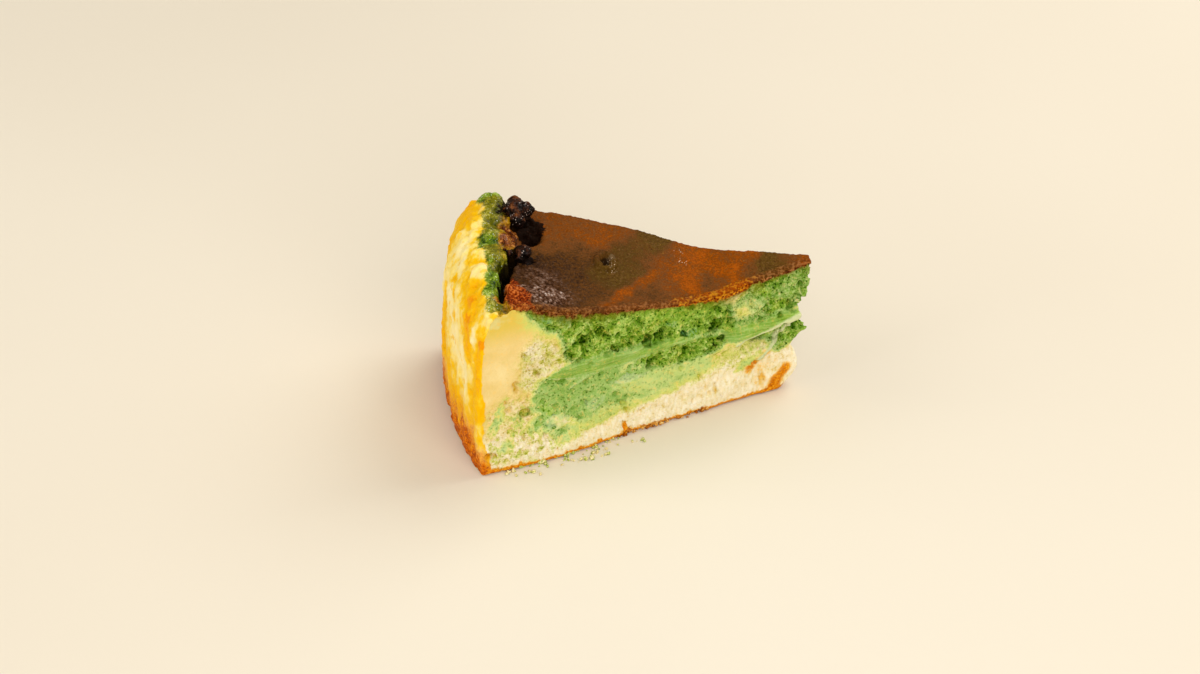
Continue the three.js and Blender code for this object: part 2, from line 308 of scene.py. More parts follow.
def on_cake(at_radius, at_angle, level=0.0):
    """A place of the cake, by its distance and angle about the middle and its height."""
    turn = compass(at_angle)
    return np.array([
        cake_middle[0] + at_radius * math.cos(turn), at_radius * math.sin(turn), level])


def ball(at_radius, at_angle, level, halves):
    """An oval ball, with half widths across the rim, along it and up."""
    bpy.ops.mesh.primitive_ico_sphere_add(
        subdivisions=3, radius=MM, location=on_cake(at_radius, at_angle, level) * MM,
        rotation=(0, 0, compass(at_angle)), scale=halves)
    return bpy.context.object


def joined(pieces):
    """Joins pieces into the first of them."""
    alone(pieces[0])
    for piece in pieces:
        piece.select_set(True)
    bpy.ops.object.join()
    return pieces[0]


# The rim's lobes: dough that swelled over the tin's paper and closed the crevice in places.
# Each has its radius, angle and height, and its half widths.
rim_lobes = [
    (105.8, 33.2, 60.9, (4.3, 5.2, 3.9)), (102, 28.8, 59.8, (2.9, 4.8, 3.2)),
    (103.8, 22.6, 60.6, (4.8, 5.4, 3.1)), (104.6, 15.8, 60.4, (4.1, 5.2, 2.9)),
    (100.2, 19.6, 58.2, (3.2, 4, 2.6)), (99.2, 24.6, 57.7, (2.8, 5.2, 2.3)),
    (108.5, 8.8, 59.2, (2.9, 4.6, 2.9)), (110.4, 4.8, 58.2, (2.5, 3.6, 2.9)),
    (108.4, 1.9, 57.2, (4, 3.6, 3.6)), (111.3, 12.3, 60.4, (2.6, 3.2, 2.3)),
    (104, 30.2, 58.8, (3.2, 4, 3.4)), (98.8, 29.8, 56.4, (2, 2.8, 2.2)),
    (111.4, 1.6, 55.6, (3.4, 2.8, 3.6)), (110, 0.9, 57.9, (2.7, 2.6, 2.7)),
    (109.2, 2.6, 56.6, (2.2, 2.4, 2.6)),
]

cake = bpy.data.objects.new("cheesecake", frame["nodes"]["cheesecake_slice"].data.copy())
bpy.context.scene.collection.objects.link(cake)
cake.data.materials.clear()
alone(cake)
bpy.ops.object.mode_set(mode="EDIT")
bpy.ops.mesh.select_all(action="SELECT")
bpy.ops.mesh.remove_doubles(threshold=1e-6)
bpy.ops.object.mode_set(mode="OBJECT")
joined([cake] + [ball(*lobe) for lobe in rim_lobes])
worked(cake, "REMESH", mode="VOXEL", voxel_size=voxel * MM)
worked(cake, "SMOOTH", factor=0.5, iterations=7)
# A small bubble that the joining enclosed is taken out: all that doesn't hang on the topmost point.
topmost = int(np.argmax(numbers(cake, "co")[:, 2]))
bpy.ops.object.mode_set(mode="EDIT")
bpy.ops.mesh.select_all(action="DESELECT")
bpy.ops.object.mode_set(mode="OBJECT")
cake.data.vertices[topmost].select = True
bpy.ops.object.mode_set(mode="EDIT")
bpy.ops.mesh.select_linked()
bpy.ops.mesh.select_all(action="INVERT")
bpy.ops.mesh.delete(type="VERT")
bpy.ops.object.mode_set(mode="OBJECT")

point = numbers(cake, "co") / MM
normal = numbers(cake, "normal")
near_out = np.array([math.sin(half_angle), -math.cos(half_angle)])
far_out = near_out * [1, -1]
# The lobes, which lie farther out and higher than this, are trimmed flush with the near cut.
lobes_beyond = 95
lobes_above = 50
beyond = (point[:, :2] - cake_middle) @ near_out
lobe_end = (beyond > 0) & (point[:, 0] < cake_middle[0] - lobes_beyond) & (point[:, 2] > lobes_above)
point[lobe_end, :2] -= np.outer(beyond[lobe_end], near_out)
placed(cake, point)
whole = BVHTree.FromObject(cake, bpy.context.evaluated_depsgraph_get())

# Where each point lies: its height, its distance and angle about the cake's middle, how far it
# is from the outer side along the near cut, and how deep it is inside the two cuts.
tip_half_width = 1.3
tip_fade = 7.0
plan = point[:, :2]
flat = plan - cake_middle
height = point[:, 2]
radius = np.hypot(flat[:, 0], flat[:, 1])
angle = near_cut_turn - np.degrees(np.arctan2(flat[:, 1], flat[:, 0])) % 360
along = cut_radius - radius
tip_bulge = tip_half_width * np.exp(-radius / tip_fade)
inside_near = radius * np.sin(np.radians(angle)) + tip_bulge
inside_far = radius * np.sin(np.radians(slice_angle - angle)) + tip_bulge
inside_cut = np.minimum(inside_near, inside_far)

# Rays cast down on the slice, a little in from the cut, find how deep each point of a cut
# face lies below the burnt top.
cut_reach = 5.0
ray_inset = 1.6
above_all = 100.0
below_top = np.zeros(len(point))
for index in np.nonzero(inside_cut < cut_reach)[0]:
    nearer = inside_near[index] < inside_far[index]
    outward = near_out if nearer else far_out
    inset = min(ray_inset, 0.5 * (inside_near[index] + inside_far[index])) - inside_cut[index]
    x, y = point[index, :2] - outward * inset
    hit = whole.ray_cast(Vector((x * MM, y * MM, above_all * MM)), Vector((0, 0, -1)))[0]
    if hit:
        below_top[index] = max(hit.z / MM - height[index], 0)

# Rays cast in at the outer side find how far each point lies inside it.
side_reach = 100.0
edge_angle = 0.8
side_levels = (1.2, 57.0)
ray_start = 200.0
well_inside = 50.0
inside_side = np.full(len(point), well_inside)
for index in np.nonzero(radius > side_reach)[0]:
    turn = compass(min(max(angle[index], edge_angle), slice_angle - edge_angle))
    outward = Vector((math.cos(turn), math.sin(turn), 0))
    level = min(max(height[index], side_levels[0]), side_levels[1])
    start = Vector((cake_middle[0] * MM, 0, level * MM)) + outward * (ray_start * MM)
    hit = whole.ray_cast(start, -outward)[0]
    if hit:
        side_radius = math.hypot(hit.x / MM - cake_middle[0], hit.y / MM)
        inside_side[index] = max(side_radius - radius[index], 0)

on_cut = (
    (inside_cut < cut_reach) * rises(below_top, 0.3, 1.1)
    * rises(inside_side, 0.2, 1.2) * rises(height, 0.2, 0.8))
on_side = rises(inside_side, 1.6, 0.6) * rises(height, 60, 54) * rises(height, 0.2, 1.2)
on_base = rises(height, 0.8, 0.2)
on_top = np.clip(1 - on_cut - on_side - on_base, 0, 1)

# Short rays from the outer top find the places that are sheltered, such as the crevice.
shelter_reach = 6.0
shelter_radius = 84.0
shelter_lift = 0.15
shelter_leans = (0.45, 1.1)
shelter_rays = [
    Vector((math.cos(turn) * lean, math.sin(turn) * lean, 1)).normalized()
    for lean in shelter_leans for turn in np.linspace(0, 2 * math.pi, 6, endpoint=False)
]
sheltered = np.zeros(len(point))
for index in np.nonzero((on_top > 0.3) & (radius > shelter_radius))[0]:
    start = Vector((point[index] + normal[index] * shelter_lift) * MM)
    blocked = sum(whole.ray_cast(start, ray, shelter_reach * MM)[0] is not None for ray in shelter_rays)
    sheltered[index] = blocked / len(shelter_rays)


def grain(size, octaves=1, shift=0.0, stretch=(1, 1, 1)):
    """Soft noise from about -1 to 1 at every point, with patches about size millimetres wide."""
    places = point / np.array(stretch) / size + shift
    return np.array([noise.fractal(place, 1.0, 2.0, octaves) for place in places.tolist()])


wander = 0.9 * grain(5.0, 2)
ripple = 0.45 * grain(1.6, 1, 9.0)
ragged = 0.9 * grain(1.7, 3, 45.0)
wavy_along = along + wander + ripple
wavy_height = height + 0.8 * grain(5.0, 2, 30.0) + 0.35 * grain(1.6, 1, 40.0)


def off_line(right, up, first, last):
    """How far places, given by right and up, lie from the straight line between two of them."""
    run = np.subtract(last, first)
    right = right - first[0]
    up = up - first[1]
    share = np.clip((right * run[0] + up * run[1]) / (run @ run), 0, 1)
    return np.hypot(right - share * run[0], up - share * run[1])


def within(outline):
    """How far each point of the cuts lies inside an outline, in millimetres."""
    corners = np.array(outline, float)
    away = np.full(len(point), np.inf)
    enclosed = np.zeros(len(point), bool)
    for first, last in zip(corners, np.roll(corners, -1, axis=0)):
        away = np.minimum(away, off_line(wavy_along, wavy_height, first, last))
        right = wavy_along - first[0]
        up = wavy_height - first[1]
        run = last - first
        if run[1]:
            enclosed ^= ((up < 0) != (up < run[1])) & (right < up / run[1] * run[0])
    return np.where(enclosed, away, -away)


# The marbling of the two cuts is laid on area by area, as a painter would. Tone runs from
# deep green (0) over green (0.4) and pale green (0.6) to cream (1). Crumb runs from a smooth
# knife smear (0) to an open crumb (1). Each area has its tone, its crumb, its knife streaks,
# the width of its edge, and its outline as (along, height).
near_areas = [
    # the soft green that the upper green fades into
    (0.66, 0.1, 0, 5, [(14, 62), (16, 53), (22, 46.5), (29, 43), (34, 40), (40, 48), (24, 60)]),
    # the crumbly cream beside the green
    (0.88, 1, 0, 2.6, [(15, 44), (20, 48), (28, 43), (32, 38), (31, 33), (22, 31), (20, 25), (13, 30)]),
    # the mixed lower left corner
    (0.93, 0.8, 0, 3, [(2, 2), (2, 24), (9, 28), (20, 26), (19, 16), (28, 9), (26, 3)]),
    # the upper green
    (0.12, 1, 0, 2, [
        (17, 62), (18, 57), (22, 51.5), (28, 47), (30.5, 42), (30.5, 37), (33, 34), (60, 33.5), (66, 31),
        (80, 31), (90, 28), (97, 29), (108, 31), (124, 34), (124, 62)]),
    # the smooth green just under the crust
    (0, 0.5, 0, 2, [(57, 43), (70, 38), (82, 38), (84, 43), (72, 47), (58, 50)]),
    # the crumb between the two smears
    (0.16, 1, 0, 1.2, [
        (56, 29), (66, 30), (80, 30.5), (90, 27), (86, 23.5), (76, 21.5), (62, 21.5), (57, 22.5),
        (57, 26), (51, 24)]),
    # the lower green
    (0.4, 0.3, 0, 2.4, [
        (21, 31), (19, 27), (18, 22), (21, 18), (17, 15), (22, 11.5), (28, 8.5), (36, 8), (48, 11.5),
        (64, 12.5), (76, 14.5), (86, 18.5), (88, 22), (62, 21.5), (57, 26), (50, 27), (58, 29),
        (60, 33), (30, 33)]),
    # its yellow-green lower fringe
    (0.68, 0.3, 0, 2.4, [
        (30, 9.5), (40, 13.5), (52, 12.5), (64, 13.5), (78, 16.5), (92, 22), (89, 18), (78, 13.5),
        (64, 10.5), (50, 9.5), (36, 6.5), (26, 6)]),
    # the smooth pale band
    (0.6, 0.04, 0.12, 2.2, [(45, 20), (54, 22), (75, 21.5), (87, 21.5), (82, 17.5), (66, 14.5), (55, 14)]),
    # the long smear of the knife, and its paler end
    (0.3, 0, 1, 0.8, [
        (22.5, 31.2), (30, 34), (46, 33.8), (60, 33.8), (74, 31.6), (82, 30.6), (70, 29.4), (56, 29),
        (46, 28.4), (36, 28.6), (28, 29.6)]),
    (0.27, 0, 1, 0.9, [
        (86, 27.5), (92, 30.5), (101, 30.5), (116, 31.5), (114, 28.5), (104, 25.8), (93, 23.5)]),
    # the pale pocket above it
    (0.56, 0.8, 0, 2.4, [
        (84, 43), (89, 46), (97, 43), (102, 38), (104, 34), (102, 31), (93, 30.5), (90, 33), (89, 39)]),
    (0.86, 0.7, 0, 1.4, [(86, 43.5), (90, 46), (95, 43.5), (93, 41), (89, 41)]),
    (0.8, 0.7, 0, 1.2, [(91, 38), (95, 38), (97, 34), (93, 33)]),
    # the dark recess under the pale ridge
    (0, 0.6, 0, 0.7, [(94, 21), (100, 19.5), (105, 22), (110, 27), (104, 25.6), (97, 24)]),
    # the torn green at the tip
    (0.22, 1, 0, 0.9, [(103, 20), (107, 15.5), (112, 18), (117, 21), (123, 23), (120, 27), (110, 27.5)]),
    # the lighter green of the tip
    (0.3, 1, 0, 3, [(103, 34), (103, 47), (122, 49), (122, 35)]),
    # the cream with green in it under the end of the smear
    (0.8, 0.7, 0, 2.2, [(82, 22), (90, 25), (102, 22), (107, 16), (98, 13), (86, 16)]),
    # pale flecks
    (0.66, 0.1, 0, 1.2, [(90, 12), (94, 15.5), (99, 16.5), (96, 12.5)]),
    (0.84, 0.4, 0, 1.6, [(22, 15.5), (27, 16), (33, 13), (35, 10), (29, 10.5)]),
    (0.6, 0.3, 0, 0.8, [(3.5, 18), (5.5, 24), (7.5, 26), (8, 20), (6, 16.5)]),
    (0.68, 0.4, 0, 1, [(5, 8), (7, 12.5), (11, 12), (11, 7)]),
]
far_areas = [
    (0.95, 0.7, 0, 1.5, [(6, 50), (16, 52), (24, 46), (26, 30), (14, 24), (6, 30)]),
    (0.93, 0.5, 0, 2.5, [(2, 2), (2, 26), (12, 28), (26, 20), (30, 6)]),
    (0.14, 1, 0, 1.2, [
        (8, 62), (14, 53), (24, 49), (22, 42), (15, 36), (20, 31), (44, 34), (70, 33), (96, 30),
        (124, 33), (124, 62)]),
    (0.38, 0.35, 0, 1.6, [
        (20, 31), (24, 22), (36, 12), (48, 9), (64, 12), (82, 16), (96, 22), (98, 28), (60, 34), (40, 34)]),
    (0.76, 0.2, 0, 1.4, [
        (30, 16), (42, 12), (60, 14), (84, 19), (100, 26), (96, 20), (80, 13), (56, 8), (38, 8)]),
    (0.33, 0, 1, 0.7, [(14, 27.5), (34, 33), (58, 36.5), (66, 34), (50, 31), (30, 28)]),
    (0.52, 0, 1, 0.8, [(50, 20), (66, 24.5), (98, 28.5), (108, 27), (84, 22), (62, 18.5)]),
    (0.8, 0.9, 0, 1.5, [(66, 46), (84, 45), (90, 39), (80, 35), (68, 38)]),
    (0.24, 1, 0, 1, [(100, 20), (112, 17), (122, 23), (118, 28), (104, 27)]),
]


def marbling(areas):
    """The tone, the crumb and the smear that a cut's areas give, one laid over another."""
    tone = np.ones(len(point))
    crumb = 0.35 * rises(height, 26, 18)
    smear = np.zeros(len(point))
    for area_tone, area_crumb, area_smear, edge, outline in areas:
        share = rises(within(outline), -edge, edge)
        tone += (area_tone - tone) * share
        crumb += (area_crumb - crumb) * share
        smear += (area_smear - smear) * share
    return tone, crumb, smear


far_share = rises(angle, 14, 22)
near_share = on_cut * (1 - far_share)
tone, crumb, smear = (
    near + (far - near) * far_share for near, far in zip(marbling(near_areas), marbling(far_areas)))
mixed = rises(within([(1, 1), (1, 25), (9, 30), (24, 22), (36, 8), (28, 1)]), -3, 3)


def patch(at_along, at_height, wide, tall, strength, lean=0.0):
    """An oval patch of the near cut: its strength at the middle, falling to 0 at the edge."""
    right = wavy_along + ragged - at_along
    up = wavy_height - ragged - at_height
    turn = math.radians(lean)
    across = (right * math.cos(turn) + up * math.sin(turn)) / wide
    upward = (up * math.cos(turn) - right * math.sin(turn)) / tall
    return strength * np.clip(1.3 - 1.3 * (across ** 2 + upward ** 2), 0, 1)


def patches(ovals):
    """The strongest of several such patches at each point."""
    return np.maximum.reduce([patch(*oval) for oval in ovals])


def streak(start, end, width):
    """1 along a straight streak of the near cut, falling to 0 at its edge."""
    return np.clip(1 - (off_line(along, height, start, end) / width) ** 2, 0, 1)


def spot(at_radius, at_angle, size):
    """1 at a place of the top, falling to 0 at a distance."""
    away = np.hypot(*(plan - on_cake(at_radius, at_angle)[:2]).T) / size
    return np.clip(1 - away ** 2, 0, 1) ** 2


# Holes that show in the near cut: along, height, half width, half height, depth and any lean.
near_holes = [
    (59.3, 34.6, 2.1, 2.3, 2.6), (64.2, 35.6, 1.9, 1.7, 2.4), (48.4, 35.2, 1.1, 1.4, 1.9),
    (37.6, 41.4, 3.4, 0.8, 1.9, 52), (33.6, 41, 1.5, 1.1, 1.5), (42.7, 43.4, 1.2, 1.6, 1.8),
    (35, 34.5, 1.3, 0.6, 1.6), (31.8, 37.2, 1.5, 2.4, 1.2), (44.6, 41, 1.6, 1.2, 1.2),
    (40.4, 38, 1, 1.3, 1.2), (73, 33, 1.8, 0.9, 1.8), (84.6, 32.2, 2.2, 2, 2.2), (81.5, 33.4, 1, 1.3, 1.4),
    (86.9, 27.4, 1.4, 0.8, 1.9), (84, 25.9, 0.9, 1.2, 1.7), (81, 23.6, 2.1, 0.6, 1.4),
    (76.4, 25.4, 1.4, 1.3, 1.2), (61, 24.4, 2.5, 1.5, 2.2, 18), (62, 26.4, 1, 1.4, 1.6),
    (53.4, 26.9, 1.2, 0.7, 1.4), (52, 24, 1, 1, 1.2), (69.8, 29.6, 1, 0.8, 1.3),
    (72.6, 36.4, 0.9, 0.7, 1.3), (90, 36, 1.1, 1, 1.4), (107.6, 30.6, 1.5, 1, 1.9),
    (111.4, 33, 1.6, 2.2, 1.4), (23.2, 30.6, 1, 0.5, 1.4), (115, 40, 1.4, 2.2, 1.5),
    (79.6, 42, 1.2, 1.1, 1.2), (56.8, 41.6, 1, 1.8, 1.2), (30.3, 17.2, 0.7, 1.4, 1.1),
    (37.4, 17.7, 1, 0.8, 1.2), (25.6, 16.4, 0.8, 1.1, 1.1), (12.6, 31, 0.8, 2.5, 1.3),
    (20.2, 34, 0.9, 1.6, 1.1), (16, 41.8, 1.4, 0.8, 1.1), (8.8, 26, 0.9, 1.2, 1),
    (15.8, 19.5, 1.6, 2.2, 1.7), (14.4, 12, 1, 1.7, 1.2), (22, 9.2, 0.9, 1.4, 0.9), (3.6, 7, 1.4, 1.3, 1.5),
    (52, 10, 1.4, 1, 1.1, -35), (51, 3.8, 0.8, 2.4, 1.2, 18), (78.4, 14.6, 1.1, 0.9, 1.2, -40),
    (84.4, 8, 1, 2.6, 0.9), (76, 5.6, 0.8, 1.8, 0.7), (57.4, 8, 1, 1.4, 0.8),
    (102.2, 6.4, 1.5, 3.6, 1.1, 10), (51, 12, 1.3, 1, 1), (99.6, 14.2, 3.8, 1.1, 1.5, 42),
    (92, 9, 0.8, 1.4, 0.6), (101, 22.4, 3.4, 1.3, 1.6, 14),
]
# Thin ridges that the knife left, from one end to the other, with their half width and height.
near_ridges = [
    ((92, 23.4), (104, 26.2), 1, 0.8), ((104, 26.2), (114, 29.4), 1.3, 0.9),
    ((100, 15.6), (106, 20.4), 0.9, 0.8), ((106, 20.4), (110.6, 27), 1, 0.9),
    ((24, 31.2), (33, 28.4), 0.6, 0.4), ((33, 28), (60, 29), 0.5, 0.3),
    ((31, 24.6), (38, 28), 0.6, 0.35), ((30, 33), (58, 32.6), 0.5, 0.25),
]


def tree_of(places):
    """A tree that finds which of some places lie nearest to another one."""
    tree = KDTree(len(places))
    for index, place in enumerate(places.tolist()):
        tree.insert(place, index)
    tree.balance()
    return tree


# Round bits and pores are scattered over both cuts, the side, the rim and the crust.
draw = np.random.default_rng(36)
point_tree = tree_of(point + 0.35 * grain(2.0, 1, 70.0)[:, None])


def scattered(where, count, smallest, largest):
    """Round bits scattered where there is weight: their height, 0 to 1, and a number for each."""
    rise = np.zeros(len(point))
    own = np.full(len(point), 0.5)
    for middle in draw.choice(len(point), count, p=where / where.sum()):
        size = draw.uniform(smallest, largest)
        mark = draw.random()
        for _, index, away in point_tree.find_range(point[middle], size):
            cap = size / largest * math.sqrt(1 - min(away / size, 1) ** 2)
            if cap > rise[index]:
                rise[index] = cap
                own[index] = mark
    return rise, own


# The crumb of the cuts. The relief is the height in millimetres that each point moves outwards.
is_green = rises(tone, 0.75, 0.5)
coarse_bits, coarse_own = scattered(on_cut * (crumb + 0.02), 1900, 0.8, 2.3)
fine_bits, fine_own = scattered(on_cut * (crumb + 0.1), 9000, 0.4, 0.95)
far_holes, _ = scattered(on_cut * far_share * rises(crumb, 0.3, 0.8), 40, 1.0, 2.4)
pits, _ = scattered(on_cut * (crumb * is_green + 0.05 * crumb * (1 - is_green) + 0.01), 900, 0.35, 1.3)
holes = patches(near_holes) * (1 + 0.8 * ragged)
ridges = np.maximum.reduce([rise * streak(*line) for *line, rise in near_ridges])
open_crumb = (
    crumb * rises(along, 4, 12) * rises(below_top, 0.4, 3.0)
    * (0.3 + 0.7 * rises(grain(8.0, 1, 81.0), -0.15, 0.15)))
torn = 0.5 - 3.0 * np.abs(grain(3.8, 2, 83.0))
relief = on_cut * (
    (0.45 + 0.55 * is_green) * (
        0.7 * open_crumb * (coarse_bits - 0.6) + 0.28 * (open_crumb + 0.1) * (fine_bits - 0.5)
        + 0.8 * open_crumb * torn + 0.4 * open_crumb * grain(3.4, 2, 3.0))
    + 0.08 * (0.3 + crumb) * grain(1.1, 2, 5.0) - 1.0 * pits - 2.2 * far_holes)
relief += near_share * (ridges - holes)

# The rim lies between two lines in plan, given as radii at angles. The crevice between rim and
# crust has its middle line as (radius, angle).
rim_outer = np.interp(
    angle, [0, 3, 5.5, 7, 9, 11, 14, 19, 26, 31, 36],
    [113.6, 112.6, 112.2, 111.5, 110.3, 109.0, 107.9, 108.4, 108.3, 109, 111])
rim_inner = np.interp(
    angle, [0, 3.5, 5, 7.9, 9.8, 11.2, 14, 16.5, 18, 22, 26, 29, 31, 36],
    [108.2, 107.4, 107.0, 105.2, 104.2, 103.2, 101.2, 99.4, 97.4, 96.0, 96.0, 97.2, 99.8, 102.5])
rim = radius - rim_inner
crevice_line = [(98.3, 18.2), (99.4, 15.8), (102.2, 12.4), (104.1, 9.7), (105.7, 7.1), (106.8, 5.0)]
crevice_half = 1.5
crevice_floor = 53.0
crevice_depth = 6.0
crevice_away = 0.7 * grain(1.9, 3, 91.0) + np.minimum.reduce([
    off_line(*plan.T, on_cake(*first)[:2], on_cake(*last)[:2])
    for first, last in zip(crevice_line, crevice_line[1:])])

# The side has soft runs and small craters, the rim has knobs, and the burnt top has a fine
# leathery grain with blisters beside its near corner and a raised lip along the crevice.
on_rim = on_top * rises(rim, -0.6, 0.8)
on_crust = on_top * (1 - on_rim)
blistered = on_crust * np.clip(
    1.7 * spot(97, 4.6, 9) + 1.3 * spot(91, 5, 9) + 0.6 * spot(91, 12, 11) + 0.9 * spot(103.5, 6, 6)
    + 0.2 * spot(84, 6, 8), 0, 1)
side_holes, _ = scattered(on_side, 260, 0.6, 1.8)
relief += on_side * (
    0.6 * grain(5.5, 2, 12.0, (1, 1, 2.4)) + 0.25 * grain(1.6, 2, 14.0) - 0.5 * side_holes
    + rises(height, 15, 3) * 0.6 * grain(2.2, 2, 16.0))
knobs, _ = scattered(on_rim, 90, 1.0, 3.0)
bright_side = rises(radius + 0.35 * (angle - 14), 103, 107)
knobbly = on_rim * (0.08 + bright_side * rises(grain(6.0, 1, 61.0), -0.1, 0.3))
small_knobs, _ = scattered(knobbly, 420, 0.5, 1.4)
relief += on_rim * (
    0.4 * (knobs - 0.4) + 0.38 * small_knobs + 1.1 * grain(5.0, 2, 20.0) + 0.22 * grain(1.2, 2, 22.0))
bubbles, _ = scattered(blistered, 420, 0.4, 1.2)
craters, _ = scattered(on_crust * rises(radius, 60, 96), 70, 0.3, 0.8)
relief += on_crust * (
    0.3 * grain(7.0, 2, 24.0) + 0.1 * grain(1.2, 2, 26.0)
    + blistered * (0.8 * bubbles + 0.5 * grain(1.7, 2, 28.0)) - 0.5 * craters)
relief += on_crust * 0.5 * rises(crevice_away, 4.0, 1.6)
# A burst bubble: a ring of raised skin round a small dark pit.
from_bubble = (plan - on_cake(68.2, 19.2)[:2]).T / np.array([[1.0], [1.4]])
bubble_away = np.hypot(*from_bubble) + 0.7 * grain(1.6, 2, 95.0)
burst = on_crust * (rises(np.abs(bubble_away - 2.6), 1.5, 0.3) - 0.9 * rises(bubble_away, 2.5, 0.4))
relief += 1.1 * burst
# The hollow beside the burnt lumps has ragged walls.
relief += on_top * (spot(92.3, 29.4, 8) + spot(95.2, 18.2, 6)) * 1.6 * grain(2.4, 3, 99.0)
# The crumbly lower edge of the crust stands out a little from both cuts.
crust_edge = (
    (inside_cut < 2.0) * rises(below_top, 2.4, 1.0) * rises(height, 30, 40) * rises(inside_side, 1, 4))
crust_crumbs, _ = scattered(crust_edge * (1 - far_share), 700, 0.5, 1.3)
relief += crust_edge * (1 - 0.7 * far_share) * (0.45 * grain(1.5, 3, 33.0) + 0.4 * crust_crumbs)

moved = point + normal * relief[:, None]
# The solid's burnt lumps are drawn in by a share, as finer ones of their own cover them:
# radius, angle, height, size and share.
solid_lumps = [
    (97.8, 31.3, 61.6, 4.8, 0.26), (93.2, 32.4, 61.4, 2.1, 0.3), (95.6, 18.2, 60, 3.4, 0.4),
    (99.4, 18, 60.8, 1.9, 0.4),
]
for *place, size, drawn_in in solid_lumps:
    from_middle = moved - on_cake(*place)
    away = np.linalg.norm(from_middle, axis=1)
    moved -= from_middle * (drawn_in * rises(away, size + 1.4, size + 0.4))[:, None]
# The crevice is carved down to its floor. Nothing goes below the table, and what isn't part of
# the base stays just clear of it.
base_height = 0.3
base_gap = 0.02
carved = on_top * rises(crevice_away, crevice_half + 0.5, crevice_half - 0.5) * crevice_depth
moved[:, 2] = np.minimum(moved[:, 2], np.maximum(moved[:, 2] - carved, crevice_floor))
moved[:, 2] = np.maximum(moved[:, 2], base_gap * (height > base_height))
placed(cake, moved)


# Where the colours lie, as numbers that the mesh carries.
def blended(spots, falloff, places):
    """The levels of soft spots of the top that run into one another."""
    never_zero = 1e-9
    total = np.full(len(point), never_zero)
    levels = np.zeros((len(spots[0]) - 3, len(point)))
    for at_radius, at_angle, size, *spot_levels in spots:
        away = np.hypot(*(places - on_cake(at_radius, at_angle)[:2]).T) / size
        weight = np.exp(-falloff * away ** 2)
        total += weight
        levels += np.outer(spot_levels, weight)
    return levels / total


# A blue-green tinge in places, and a whitish veil where the knife drew cream over the green.
# The last two veil patches, at the near top corner, are painted whitish glints of wetness.
teal = near_share * patches([
    (23, 53, 4, 2, 1), (30, 51, 3, 2, 1), (74.5, 33.5, 4, 1.6, 1), (68, 38, 3, 1.4, 1), (8, 12, 3, 3, 0.6)])
veil = near_share * patches([
    (26, 14, 6, 3, 1), (53, 22, 10, 2, 1), (7, 10, 3, 4, 0.8), (40, 17, 6, 3, 0.7),
    (5, 57.5, 3.6, 3.4, 0.9), (9.5, 58, 3, 2.4, 0.7)])

# Scorch runs from orange (0) over brown (0.5) to chocolate (1), laid on in soft spots that run
# into one another along wavy edges: radius, angle, size, scorch, olive.
scorch_spots = [
    (95, 17, 11, 0.96, 0), (86, 13, 12, 0.88, 0.1), (88, 25, 7, 0.52, 0), (86, 33, 8, 0.36, 0),
    (84, 29, 4, 0.36, 0), (76, 33, 8, 0.38, 0), (72, 29, 6, 0.26, 0), (74, 22, 6, 0.7, 0.2),
    (68, 14, 10, 0.82, 0.8), (60, 21, 8, 0.74, 0.7), (66, 33, 6, 0.36, 0), (52, 31, 7, 0.8, 1),
    (56, 27, 5, 0.6, 0.6), (50, 22, 6, 0.3, 0), (60, 15, 5, 0.72, 0.8), (50, 7, 5, 0.36, 0),
    (66, 3, 6, 0.55, 0.2), (57, 4.5, 5, 0.62, 0.1), (77, 6, 7, 0.74, 0.2), (43, 14, 5, 0.12, 0),
    (44, 28, 5, 0.2, 0), (36, 25, 7, 0.1, 0), (36.3, 11.9, 3.6, 0.62, 0), (31.5, 11, 3, 0.5, 0),
    (28, 14, 5, 0.1, 0), (30, 30, 5, 0.3, 0.2), (21, 9, 4, 0.5, 0.4), (16, 15, 5, 0.75, 1),
    (22, 28, 5, 0.16, 0), (9, 20, 4, 0.5, 0.5), (2, 20, 5, 0.24, 0), (97, 4, 6, 0.85, 0),
    (103, 5, 4.5, 0.3, 0), (86, 2, 4, 0.82, 0), (96, 31, 9, 0.5, 0),
]
swept = plan + 2.2 * np.stack([grain(7.0, 2, 101.0), grain(7.0, 2, 103.0)], axis=1)
scorch, olive = blended(scorch_spots, 1.9, swept)
# An orange streak runs up from the near cut, where the skin was drawn thin.
streak_ends = [on_cake(75, 1.0)[:2], on_cake(65, 7.0)[:2], on_cake(53, 15.5)[:2]]
for first, last in zip(streak_ends, streak_ends[1:]):
    thin_skin = 0.75 * rises(off_line(*plan.T, first, last) + 1.2 * grain(3.4, 3, 97.0), 3.3, 0.2)
    scorch += (0.04 - scorch) * thin_skin
    olive *= 1 - thin_skin
# Places of the crust where small painted highlights sparkle.
sparkle = np.maximum.reduce([spot(*place) for place in (
    (66.6, 18.6, 2.6), (66.8, 16.0, 2.4), (43.9, 29.9, 2.0), (42.3, 24, 2.0), (44, 26.5, 1.6))])
# The last of the skin beside the near cut is grainy, as the knife crushed it.
brink = on_crust * (1 - far_share) * rises(inside_near, 2.6, 0.3) * (inside_near < 4)
red = np.clip(1.6 * spot(103.5, 4.2, 7.5) + 1.2 * spot(101.5, 9, 4) + 1.4 * spot(104, 0, 6), 0, 1)
# Char round the burnt lumps, and black painted shade in the crevice, the hollow and other sheltered places
# that the short rays found.
soot = on_top * np.clip(
    rises(sheltered, 0.6, 0.9) * (radius < 108) + 2.2 * spot(92.3, 29.4, 6.6) + 2.2 * spot(97.8, 31.4, 8.0)
    + 2.0 * spot(95.2, 18.2, 5.6) + 1.5 * spot(99.4, 17.6, 3.2)
    + rises(crevice_away, crevice_half + 0.5, crevice_half - 0.3), 0, 1)

